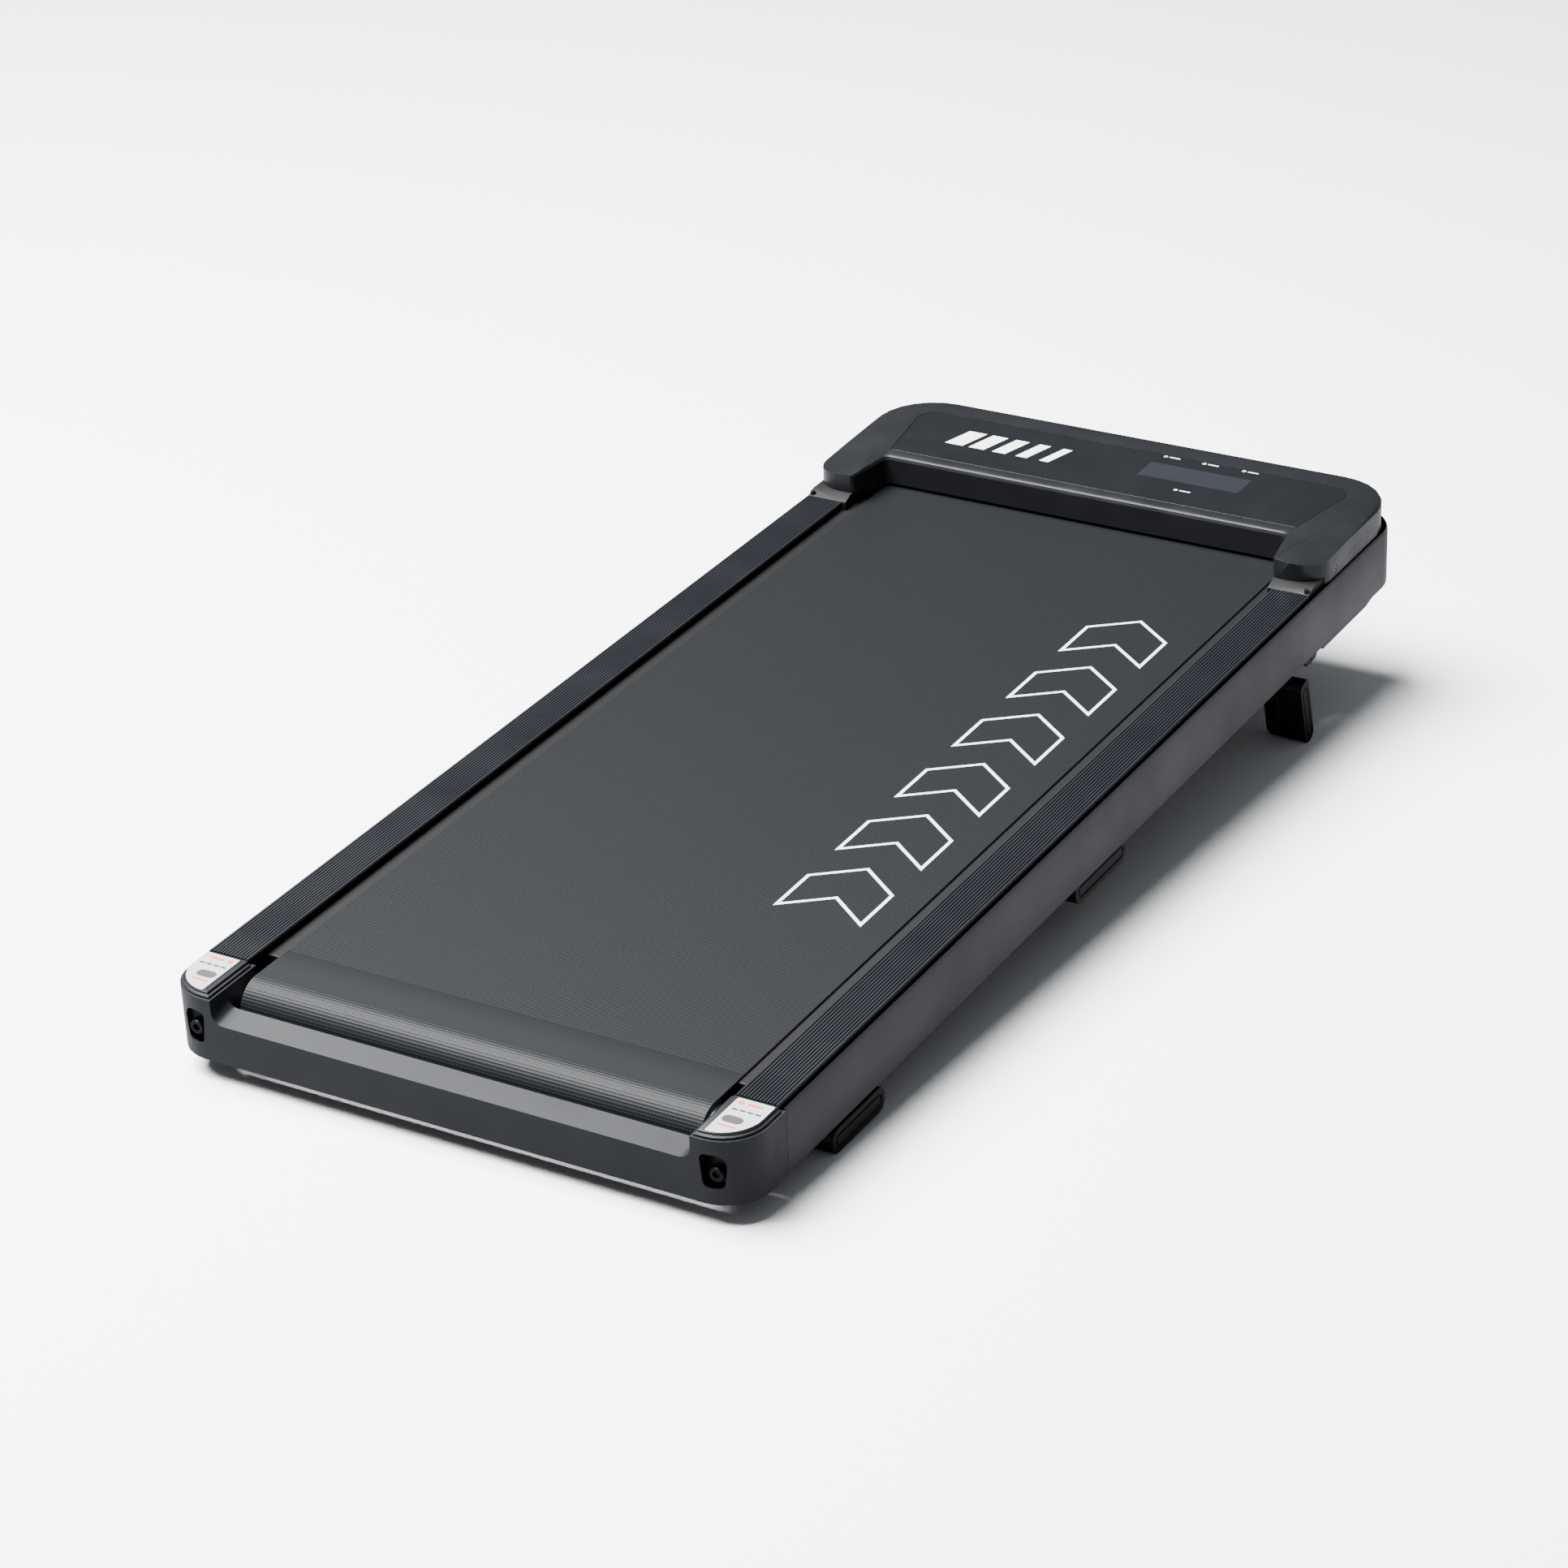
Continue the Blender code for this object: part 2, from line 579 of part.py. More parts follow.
def build_rollers():
    """Both rollers as steel tubes with moulded ends, on fixed axles."""
    bore = AXLE_RADIUS + AXLE_CLEARANCE
    neck = ROLLER_RADIUS - ROLLER_STEP
    for name, y in (("rear", REAR_ROLLER_Y), ("front", FRONT_ROLLER_Y)):
        half = ROLLER_HALF
        profile = [(bore, -half), (neck, -half), (neck, -half + 0.001), (ROLLER_RADIUS, -half + 0.002)]
        profile += [(radius, -along) for radius, along in reversed(profile)]
        centre = (0, y, ROLLER_Z)
        placed(f"{name}_roller", turned(profile, centre, steps=32), "zinc_steel", centre)
    reach = HALF - REAR_AXLE_INSET
    axle = rod(AXLE_RADIUS, -reach, reach, (0, REAR_ROLLER_Y, ROLLER_Z))
    placed("rear_axle", axle, "zinc_steel")
    reach = FRONT_FRAME_INNER + FRAME_WALL + 0.001
    axle = rod(AXLE_RADIUS, -reach, reach, (0, FRONT_ROLLER_Y, ROLLER_Z))
    placed("front_axle", axle, "zinc_steel")


def build_drive():
    """Motor on its plate, pulleys, drive belt and controller."""
    centre = (0, FRONT_ROLLER_Y, ROLLER_Z)
    bore = AXLE_RADIUS + AXLE_CLEARANCE
    low = PULLEY_X - PULLEY_WIDTH / 2
    high = PULLEY_X + PULLEY_WIDTH / 2 - GAP
    groove = ROLLER_PULLEY_RADIUS - DRIVE_BELT_THICKNESS
    rim = ROLLER_PULLEY_RADIUS
    wheel = [(bore, low), (rim, low), (rim, low + 0.001), (groove, low + 0.0015)]
    wheel += [(groove, high - 0.0015), (rim, high - 0.001), (rim, high), (bore, high)]
    placed("roller_pulley", turned(wheel, centre, steps=32), "moulded_black", centre)

    motor = (0, MOTOR_Y, MOTOR_Z)
    left = MOTOR_LEFT
    right = left + MOTOR_LENGTH
    rise = MOTOR_RADIUS - 0.003
    can = [(SHAFT_RADIUS + GAP, left), (rise, left), (MOTOR_RADIUS, left + 0.004)]
    can += [(MOTOR_RADIUS, right - 0.004), (rise, right), (MOTOR_BORE, right), (MOTOR_BORE, left + MOTOR_END)]
    can += [(SHAFT_RADIUS + GAP, left + MOTOR_END)]
    placed("motor_body", turned(can, motor, steps=36), "coated_metal")
    small = MOTOR_PULLEY_RADIUS - DRIVE_BELT_THICKNESS / 2
    lip = MOTOR_PULLEY_RADIUS
    shaft = [(0, low), (lip, low), (lip, low + 0.001), (small, low + 0.0015)]
    shaft += [(small, high - 0.0015), (lip, high - 0.001), (lip, high)]
    shaft += [(SHAFT_RADIUS, high), (SHAFT_RADIUS, left + SHAFT_REACH), (0, left + SHAFT_REACH)]
    placed("motor_pulley", turned(shaft, motor, steps=24), "zinc_steel", motor)

    ends = (FRONT_ROLLER_Y, ROLLER_Z), (MOTOR_Y, MOTOR_Z)
    inner = around(ends[0], groove + 2 * GAP, ends[1], small + 2 * GAP, 14)
    thick = DRIVE_BELT_THICKNESS
    outer = around(ends[0], groove + 2 * GAP + thick, ends[1], small + 2 * GAP + thick, 14)
    strap = hoop(outer, inner, low + 0.0022, high - 0.0022)
    placed("drive_belt", strap, "belt_rubber")

    inner = FRONT_FRAME_INNER - GAP
    y0 = FRONT_ROLLER_Y + BELT_BORE + BELT_THICKNESS + 0.006
    y1 = FRONT_FRAME_END - 0.002
    floor = -FRAME_BOTTOM + MOTOR_PLATE_THICKNESS
    plate = placed("motor_plate", block(-inner, inner, y0, y1, -FRAME_BOTTOM, floor), "coated_metal")
    for centre_x in (left + CRADLE_FROM_END, right - CRADLE_FROM_END):
        rise = MOTOR_Z - MOTOR_RADIUS * CRADLE_RISE
        x0, x1 = centre_x - CRADLE_HALF, centre_x + CRADLE_HALF
        cradle = block(x0, x1, MOTOR_Y - CRADLE_BACK, MOTOR_Y + CRADLE_AHEAD, floor - 0.001, rise)
        combined(plate, cradle, "UNION")
    combined(plate, rod(MOTOR_RADIUS + GAP, left - 0.01, right + 0.01, motor, steps=36))

    base = floor + GAP
    x0 = CONTROLLER_X
    x1 = inner - CONTROLLER_FROM_FRAME
    fins = [(x0, base)]
    pitch = (x1 - x0) / FIN_COUNT
    for k in range(FIN_COUNT):
        start = x0 + k * pitch
        side = start + pitch * FIN_SHARE
        fins += [(start, base + FIN_HEIGHT), (side, base + FIN_HEIGHT), (side, base + CONTROLLER_BASE)]
        fins.append((start + pitch, base + CONTROLLER_BASE))
    fins.append((x1, base))
    placed("controller", prism(fins, y0 + 0.008, y1 - 0.010, "y"), "bare_aluminium")


def build_foot_rails():
    """Ribbed strips that the walker stands on beside the belt."""
    pitch = (FOOT_RAIL_WIDTH - 2 * GROOVE_MARGIN) / (GROOVE_COUNT - 1)
    half = GROOVE_WIDTH / 2
    floor_half = half * 0.7
    for name, side in SIDES:
        top = [(FOOT_RAIL_INNER, -RAIL_CHAMFER), (FOOT_RAIL_INNER + RAIL_CHAMFER, 0)]
        for k in range(GROOVE_COUNT):
            centre = FOOT_RAIL_INNER + GROOVE_MARGIN + pitch * k
            top += [(centre - half, 0), (centre - floor_half, -GROOVE_DEPTH)]
            top += [(centre + floor_half, -GROOVE_DEPTH), (centre + half, 0)]
        top += [(FOOT_RAIL_OUTER - RAIL_CHAMFER, 0), (FOOT_RAIL_OUTER, -RAIL_CHAMFER)]
        leg = FRAME_OUTER - 0.0005
        floor = FRAME_TOP + GAP
        under = -FOOT_RAIL_THICKNESS
        below = [(FOOT_RAIL_OUTER, under), (leg, under), (leg, floor), (leg - FOOT_RAIL_LEG, floor)]
        below += [(leg - FOOT_RAIL_LEG, under), (FOOT_RAIL_INNER, under)]
        section = mirrored(top + below, side)
        start = COVER_START + 0.002
        strip = placed(f"foot_rail_{name}", prism(section, 0.0, RAIL_LENGTH, "y"), "coated_metal")
        low, high = span(side, FOOT_RAIL_INNER - 0.001, FOOT_RAIL_OUTER + 0.001)
        combined(strip, block(low, high, -0.001, start, floor - 0.001, under - 0.0004))


def build_side_covers():
    """Extruded skins along each side that turn round the front corners."""
    section = [(0.0, -COVER_DROP), (0.0, -COVER_TOP_DROP - 0.0030), (0.0010, -COVER_TOP_DROP - 0.0009)]
    section += [(COVER_BEAD / 2, -COVER_TOP_DROP), (COVER_BEAD - 0.0006, -COVER_TOP_DROP - 0.0006)]
    section += [(COVER_BEAD, -COVER_TOP_DROP - 0.0035), (COVER_WALL, -COVER_TOP_DROP - 0.0060)]
    section += [(COVER_WALL, -COVER_DROP + COVER_WALL), (COVER_LIP, -COVER_DROP + COVER_WALL)]
    section += [(COVER_LIP, -COVER_DROP)]
    turn = 8
    for name, side in SIDES:
        stations = [((HALF, COVER_START), (1, 0)), ((HALF, FRONT_CORNER_Y), (1, 0))]
        for k in range(1, turn + 1):
            angle = pi / 2 * k / turn
            way = (cos(angle), sin(angle))
            centre = (HALF - CORNER_RADIUS, FRONT_CORNER_Y)
            place = (centre[0] + CORNER_RADIUS * way[0], centre[1] + CORNER_RADIUS * way[1])
            stations.append((place, way))
        stations.append(((FRONT_PANEL_HALF + GAP, HOOD_FRONT), (0, 1)))
        body = bmesh.new()
        rings = []
        for (x, y), way in stations:
            ring = [body.verts.new(((x - u * way[0]) * side, y - u * way[1], z)) for u, z in section]
            rings.append(ring)
        body.faces.new(rings[0])
        body.faces.new(rings[-1])
        for lower, upper in zip(rings, rings[1:]):
            for i in range(len(section)):
                j = (i + 1) % len(section)
                body.faces.new((lower[i], lower[j], upper[j], upper[i]))
        bmesh.ops.recalc_face_normals(body, faces=body.faces)
        placed(f"side_cover_{name}", body, "coated_metal")


def corner_plan(side, from_belt, from_outside, front):
    """Plan of one rear corner up to a front edge, moved in from its belt side and outer faces.

    Every plan has equally many points, so plans can be lofted together.
    """
    centre = (HALF - REAR_RADIUS, REAR_RADIUS - REAR_REACH)
    radius = REAR_RADIUS - from_outside
    inner = TOWER_INNER + from_belt
    if inner < centre[0] - GAP:
        curve = [(inner, centre[1] - radius)] + arc(centre, radius, -pi / 2, 0.0, CORNER_STEPS - 1)
    else:
        curve = arc(centre, radius, -acos((inner - centre[0]) / radius), 0.0, CORNER_STEPS)
    return mirrored(curve + [(centre[0] + radius, front), (inner, front)], side)


def build_rear_cover():
    """The moulded cover round the rear roller: two corner towers and a low ledge between them."""
    def ring(inner):
        back = inner - REAR_REACH
        half = HALF - inner
        radius = REAR_RADIUS - inner
        front = TOWER_END + (0.002 if inner else 0.0)
        corners = [(-half, front, 0.0), (-half, back, radius), (half, back, radius), (half, front, 0.0)]
        return rounded(corners, CORNER_STEPS)

    low = -REAR_DROP
    top = 0.010
    cover = placed("rear_cover", prism(ring(0.0), low, -TOWER_TOP), "moulded_charcoal")
    roof = -TOWER_TOP - MOULDED_WALL
    combined(cover, prism(ring(MOULDED_WALL), low + MOULDED_WALL, roof))
    keep = TOWER_INNER + MOULDED_WALL
    ledge_back = -REAR_REACH
    ledge_front = ledge_back + LEDGE_REACH
    ledge_high = LEDGE_RISE - LEDGE_DROP + 0.001
    # The inner walls, the ledge and its fillets go back in, then the well for the belt is cut.
    for side in (-1, 1):
        x0, x1 = span(side, TOWER_INNER - 0.001, keep)
        combined(cover, block(x0, x1, ledge_back + 0.0005, TOWER_END, low + 0.0005, roof + 0.001), "UNION")
    plate = block(-keep, keep, ledge_back + 0.001, ledge_front, -LEDGE_DROP - LEDGE_THICKNESS, ledge_high)
    combined(cover, plate, "UNION")
    for side in (-1, 1):
        x0, x1 = span(side, TOWER_INNER - LEDGE_FILLET - 0.002, TOWER_INNER + 0.0005)
        y0, y1 = ledge_back + 0.0015, ledge_front - 0.0003
        fillet = block(x0, x1, y0, y1, -LEDGE_DROP, ledge_high + LEDGE_FILLET)
        combined(cover, fillet, "UNION")
    half = TOWER_INNER

    def well(y):
        floor = -LEDGE_DROP + (y - ledge_back) * LEDGE_RISE / LEDGE_REACH
        corners = [(-half, top, 0), (-half, floor, LEDGE_FILLET)]
        corners += [(half, floor, LEDGE_FILLET), (half, top, 0)]
        return rounded(corners, 5)

    y0 = ledge_back - 0.010
    end = TOWER_END + 0.001
    combined(cover, lofted([(well(y0), y0), (well(end), end)], "y"))
    combined(cover, block(-half, half, ledge_front, end, low - 0.001, top))
    clear = AXLE_RADIUS + 0.003
    centre = HALF - SLOT_FROM_OUTSIDE
    half_top = SLOT_WIDTH / 2
    half_low = half_top - SLOT_TAPER
    z_top = -SLOT_TOP
    z_low = z_top - SLOT_HEIGHT
    places = [(centre - half_top, z_top), (centre - half_low, z_low)]
    places += [(centre + half_low, z_low), (centre + half_top, z_top)]
    slot = [(a, b, radius) for (a, b), radius in zip(places, SLOT_RADII)]
    y0 = ledge_back - 0.005
    for side in (-1, 1):
        x0, x1 = span(side, TOWER_INNER - 0.002, keep + 0.002)
        combined(cover, block(x0, x1, REAR_ROLLER_Y - clear, end, ROLLER_Z - clear, ROLLER_Z + clear))
        combined(cover, prism(mirrored(rounded(slot, 4), side), y0, y0 + SLOT_DEPTH, "y"))


def build_corner_caps():
    """Stepped caps on the rear corners, each with a label plate."""
    low = -TOWER_TOP + GAP
    middle = low + CAP_STEP
    top = -LABEL_THICKNESS - GAP
    for name, side in SIDES:
        step = corner_plan(side, CAP_INSET, CAP_INSET, -GAP)
        pad = corner_plan(side, PAD_INSET, PAD_INSET, -GAP)
        cap = lofted([(step, low), (step, middle), (pad, middle + 0.0002), (pad, top)])
        placed(f"corner_cap_{name}", cap, "moulded_charcoal")
        plan = corner_plan(side, LABEL_FROM_BELT, LABEL_FROM_SIDE, -LABEL_FROM_RAIL)
        last = len(plan) - 1
        turns = [LABEL_RADIUS if i in (0, last - 1, last) else 0.0 for i in range(last + 1)]
        label = rounded([(a, b, turn) for (a, b), turn in zip(plan, turns)])
        placed(f"label_plate_{name}", prism(label, top + GAP, top + GAP + LABEL_THICKNESS), "label_grey")


def build_belt_adjusters():
    """Brackets that hold the rear axle, and the bolts that draw it back."""
    x_low = TOWER_INNER + MOULDED_WALL + GAP
    x_high = x_low + BRACKET_THICKNESS
    tab_end = BOLT_X + TAB_MARGIN
    back = -BRACKET_BACK
    low = BOLT_Z - TAB_MARGIN
    high = ROLLER_Z + BRACKET_RISE
    head = back - GAP
    start = head - BOLT_HEAD_LENGTH
    tip = REAR_ROLLER_Y - AXLE_RADIUS - GAP
    bore = AXLE_RADIUS + AXLE_CLEARANCE
    for name, side in SIDES:
        x0, x1 = span(side, x_low, x_high)
        cheek = block(x0, x1, back + 0.0005, COVER_START, low + 0.0005, high - 0.0005)
        bracket = placed(f"axle_bracket_{name}", cheek, "zinc_steel")
        corners = [(x_low - 0.0001, low, TAB_RADIUS), (tab_end, low, TAB_RADIUS)]
        corners += [(tab_end, high, 0.002), (x_low - 0.0001, high, 0.0)]
        tab = prism(mirrored(rounded(corners, 5), side), back, back + BRACKET_THICKNESS, "y")
        combined(bracket, tab, "UNION")
        x0, x1 = span(side, x_low - 0.002, x_high + 0.002)
        combined(bracket, rod(bore, x0, x1, (0, REAR_ROLLER_Y, ROLLER_Z), steps=20))
        centre = (BOLT_X * side, 0, BOLT_Z)
        clear = BOLT_RADIUS + AXLE_CLEARANCE
        combined(bracket, rod(clear, back - 0.002, back + 0.006, centre, "y", 20))
        shape = [(0, start), (BOLT_HEAD_RADIUS - 0.0006, start), (BOLT_HEAD_RADIUS, start + 0.0008)]
        shape += [(BOLT_HEAD_RADIUS, head), (BOLT_RADIUS, head), (BOLT_RADIUS, tip), (0, tip)]
        pivot = (BOLT_X * side, back, BOLT_Z)
        bolt = placed(f"tension_bolt_{name}", turned(shape, centre, "y", 20), "zinc_steel", pivot)
        key = arc((centre[0], centre[2]), BOLT_KEY_RADIUS, 0, 2 * pi, 6)[:-1]
        combined(bolt, prism(key, start - 0.001, start + BOLT_KEY_DEPTH, "y"))


def hood_outline(margin=0.0):
    """Plan of the hood: a bar across the front with an arm over each foot rail."""
    tip = ARM_TIP_RADIUS
    far = HOOD_HALF
    front = HOOD_FRONT - 0.001
    inner = HOOD_INNER_RADIUS
    corners = [(-far, ARM_START, tip), (-ARM_TIP_INNER, ARM_START, inner)]
    corners += [(-ARM_ROOT_INNER, HOOD_FACE, inner), (ARM_ROOT_INNER, HOOD_FACE, inner)]
    corners += [(ARM_TIP_INNER, ARM_START, inner), (far, ARM_START, tip)]
    corners += [(far, front, HOOD_CORNER), (-far, front, HOOD_CORNER)]
    outline = rounded(corners, 6)
    return inset(outline, margin) if margin else outline


def facet_level(x, y):
    """Height of the plane that falls away outside the panel, outwards and down the arms."""
    along = FACET_ALONG * (y - RAIL_LENGTH - FACET_LEVEL_AHEAD)
    return HOOD_RISE + along - FACET_ACROSS * (abs(x) - HALF + FACET_LEVEL_WIDTH)


def build_hood():
    """The moulded hood over the motor bay, with its inset display panel and board."""
    edge = HOOD_EDGE
    layers = [(hood_outline(), HOOD_BOTTOM), (hood_outline(), HOOD_RISE - edge)]
    layers += [(hood_outline(edge * 0.3), HOOD_RISE - edge * 0.3), (hood_outline(edge), HOOD_RISE)]
    hood = placed("hood_cover", lofted(layers), "moulded_black")
    roof = HOOD_RISE - HOOD_ROOF
    low = HOOD_BOTTOM - 0.002
    inner = HOOD_WALL
    combined(hood, prism(hood_outline(inner), low, ARM_CAVITY_TOP))
    screw = (0, RAIL_LENGTH + SCREW_AHEAD, SCREW_RISE)
    half = ARM_ROOT_INNER - 0.0004
    near = HOOD_FACE + inner + 0.0004
    far = HOOD_FRONT - 0.0014 - inner
    combined(hood, block(-half, half, near, far, ARM_CAVITY_TOP - 0.002, roof))
    for side in (-1, 1):
        facet = bmesh.new()
        plan = [(HALF - FACET_WIDTH, ARM_START - 0.02), (HALF + 0.02, ARM_START - 0.02)]
        plan += [(HALF + 0.02, HOOD_FRONT + 0.02), (HALF - FACET_WIDTH, HOOD_FRONT + 0.02)]
        lower = [facet.verts.new((x * side, y, facet_level(x, y))) for x, y in plan]
        upper = [facet.verts.new((x * side, y, HOOD_RISE + 0.040)) for x, y in plan]
        facet.faces.new(lower)
        facet.faces.new(upper)
        for i in range(4):
            j = (i + 1) % 4
            facet.faces.new((lower[i], lower[j], upper[j], upper[i]))
        bmesh.ops.recalc_face_normals(facet, faces=facet.faces)
        combined(hood, facet)
        x0, x1 = span(side, HOOD_HALF - SCREW_RECESS, HOOD_HALF + 0.001)
        combined(hood, rod(SCREW_RADIUS + GAP, x0, x1, screw, steps=16))
        x0, x1 = span(side, ARM_ROOT_INNER - 0.003, HALF)
        notch_end = ARM_START + ARM_NOTCH
        combined(hood, block(x0, x1, ARM_START - 0.001, notch_end, low, END_BLOCK_RISE + 0.0006))
    near = RAIL_LENGTH + PANEL_NEAR_AHEAD
    far = RAIL_LENGTH + PANEL_FAR_AHEAD
    near_half = HALF - PANEL_NEAR_FROM_SIDE
    far_half = HALF - PANEL_FAR_FROM_SIDE
    corners = [(-near_half, near, 0.002), (near_half, near, 0.002)]
    corners += [(far_half, far, PANEL_RADIUS), (-far_half, far, PANEL_RADIUS)]
    panel = rounded(corners, 6)
    floor = HOOD_RISE - PANEL_RECESS
    combined(hood, prism(panel, floor, HOOD_RISE + 0.010))
    sheet = prism(inset(panel, 0.0005), floor + GAP, floor + GAP + PANEL_THICKNESS)
    placed("display_panel", sheet, "panel_gloss")
    y0, y1 = near + BOARD_FROM_PANEL[0], far - BOARD_FROM_PANEL[1]
    z1 = roof - BOARD_BELOW_ROOF
    board = block(*BOARD_X, y0, y1, z1 - BOARD_THICKNESS, z1)
    placed("display_board", board, "board_green")
    low = HOOD_HALF - SCREW_RECESS + GAP
    high = HOOD_HALF - 0.0002
    for name, side in SIDES:
        profile = [(0, low * side), (SCREW_RADIUS, low * side), (SCREW_RADIUS, (high - 0.0003) * side)]
        profile += [(SCREW_RADIUS - 0.0004, high * side), (SCREW_KEY, high * side)]
        profile += [(SCREW_KEY, (high - 0.0004) * side), (0, (high - 0.0004) * side)]
        placed(f"hood_screw_{name}", turned(profile, screw, steps=16), "zinc_steel")


def build_rail_end_blocks():
    """Blocks that close each foot rail's front end: a ramp up to the hood's arm and a tongue under it."""
    start = RAIL_LENGTH + GAP
    crest = start + END_BLOCK_RAMP
    step = ARM_START + ARM_NOTCH - 0.001
    end = RAIL_LENGTH + END_BLOCK_LENGTH
    low = DECK_TOP + GAP
    under = HOOD_BOTTOM - 0.0004
    profile = [(start, low), (start, 0.0), (crest, END_BLOCK_RISE), (step, END_BLOCK_RISE)]
    profile += [(step, under), (end, under), (end, low)]
    outer = FOOT_RAIL_OUTER - 0.0005
    for name, side in SIDES:
        x0, x1 = span(side, FOOT_RAIL_INNER - 0.004, outer)
        ramp = placed(f"rail_end_block_{name}", prism(profile, x0, x1, "x"), "moulded_black")
        centre = ((outer - CLIP_RADIUS - 0.001) * side, start + CLIP_RADIUS + 0.0008, 0)
        combined(ramp, rod(CLIP_RADIUS, low / 2, END_BLOCK_RISE, centre, "z", 16), "UNION")


def inlet_outline(grow):
    """Outline of the mains inlet's shell, in X and Z, made larger all round by grow."""
    half_w, half_h = (half + grow for half in INLET_HALF)
    lower, upper = (radius + grow for radius in INLET_RADII)
    x0, x1 = INLET_X - half_w, INLET_X + half_w
    z0, z1 = -FITTING_DROP - half_h, -FITTING_DROP + half_h
    corners = [(x0, z0, lower), (x1, z0, lower), (x1, z1, upper), (x0, z1, upper)]
    return rounded(corners, 3)


def build_front_panel():
    """Front panel with its mains inlet, power switch and overload button."""
    back = HOOD_FRONT - FRONT_PANEL_WALL
    top = -COVER_TOP_DROP - 0.001
    low = -COVER_DROP + 0.002
    flange = low + 0.002
    wall = [(HOOD_FRONT, top), (HOOD_FRONT, low), (HOOD_FRONT - FRONT_PANEL_FLANGE, low)]
    wall += [(HOOD_FRONT - FRONT_PANEL_FLANGE, flange), (back, flange), (back, top)]
    front = placed("front_panel", prism(wall, -FRONT_PANEL_HALF, FRONT_PANEL_HALF, "x"), "moulded_charcoal")
    middle = -FITTING_DROP
    y0 = back - 0.001
    y1 = HOOD_FRONT + 0.001
    deep = back - FITTING_DEPTH
    face = HOOD_FRONT - 0.0003

    combined(front, prism(inlet_outline(GAP), y0, y1, "y"))
    shell = placed("power_inlet", prism(inlet_outline(0.0), deep, face, "y"), "moulded_black")
    combined(shell, prism(inlet_outline(-INLET_WALL), deep + 0.004, y1, "y"))
    for step in (-1, 0, 1):
        x = INLET_X + step * PIN_PITCH
        z = middle - PIN_STAGGER if step else middle + PIN_STAGGER
        half_w, half_h = PIN_HALF
        blade = block(x - half_w, x + half_w, deep + 0.003, HOOD_FRONT - 0.004, z - half_h, z + half_h)
        combined(shell, blade, "UNION")

    half_w, half_h = SWITCH_HALF
    x0, x1 = SWITCH_X - half_w, SWITCH_X + half_w
    z0, z1 = middle - half_h, middle + half_h
    combined(front, block(x0 - GAP, x1 + GAP, y0, y1, z0 - GAP, z1 + GAP))
    housing = placed("switch_housing", block(x0, x1, deep, face, z0, z1), "moulded_black")
    wall = SWITCH_WALL
    combined(housing, block(x0 + wall, x1 - wall, deep + 0.005, y1, z0 + wall, z1 - wall))
    pivot = (SWITCH_X, HOOD_FRONT - ROCKER_BACK, middle)
    half = half_w - wall - 0.0012
    shape = [(-half, 0.0010), (-half, 0.0032), (0, 0.0022), (half, 0.0032), (half, 0.0010)]
    shape += [(0.002, -0.0045), (-0.002, -0.0045)]
    c, d = cos(ROCKER_TILT), sin(ROCKER_TILT)
    rocked = [(pivot[0] + a * c - b * d, pivot[1] + a * d + b * c) for a, b in shape]
    reach = half_h - wall - 0.0004
    placed("rocker_switch", prism(rocked, middle - reach, middle + reach), "moulded_black", pivot)

    centre = (BREAKER_X, 0, middle)
    combined(front, rod(BREAKER_RADIUS + 0.0004, y0, y1, centre, "y", 20))
    neck = BREAKER_RADIUS - 0.0008
    crown = HOOD_FRONT + BREAKER_CROWN
    stem = [(0, back - BREAKER_STEM), (neck, back - BREAKER_STEM)]
    stem += [(neck, back - 0.003), (BREAKER_RADIUS, back - 0.003)]
    stem += [(BREAKER_RADIUS, crown - 0.0008), (neck, crown), (0, crown)]
    placed("breaker_button", turned(stem, centre, "y", 20), "moulded_black", (BREAKER_X, HOOD_FRONT, middle))


def build_bottom_pan():
    """The shallow pan under the motor bay, ramped up at its front and notched round the wheels."""
    start = RAIL_LENGTH + PAN_START_AHEAD
    top = -COVER_DROP - GAP
    low = top - PAN_DEPTH
    flat_end = start + PAN_FLAT_LENGTH
    end = flat_end + PAN_RAMP_LENGTH
    outer = [(start, top), (start, low + 0.002), (start + 0.002, low), (flat_end, low)]
    outer += [(flat_end + PAN_RAMP_LENGTH * 0.5, low + PAN_DEPTH * 0.3), (end, top - 0.0015), (end, top)]
    half = HALF - PAN_INSET
    pan = placed("bottom_pan", prism(outer, -half, half, "x"), "moulded_black")
    inside = [(start + PAN_WALL, top + 0.001), (start + PAN_WALL, low + PAN_WALL), (flat_end, low + PAN_WALL)]
    inside += [(end - PAN_RAMP_LENGTH * 0.35, top + 0.001)]
    combined(pan, prism(inside, PAN_WALL - half, half - PAN_WALL, "x"))
    for side in (-1, 1):
        x0, x1 = span(side, WHEEL_INNER - 0.006, WHEEL_OUTER + 0.006)
        combined(pan, block(x0, x1, start - 0.001, WHEEL_Y + WHEEL_RADIUS + 0.003, low - 0.001, top + 0.001))


def foot_side(start, length, low, thickness, radius):
    """Side outline of a fixed foot: a bar with round corners."""
    end = start + length
    high = low + thickness
    return rounded([(start, low, radius), (end, low, radius), (end, high, radius), (start, high, radius)], 5)


def groove_ring(outline, low, high):
    """The body that cuts a groove along the outline into a face square to X."""
    return hoop(outline, inset(outline, FOOT_GROOVE_WIDTH), low, high)


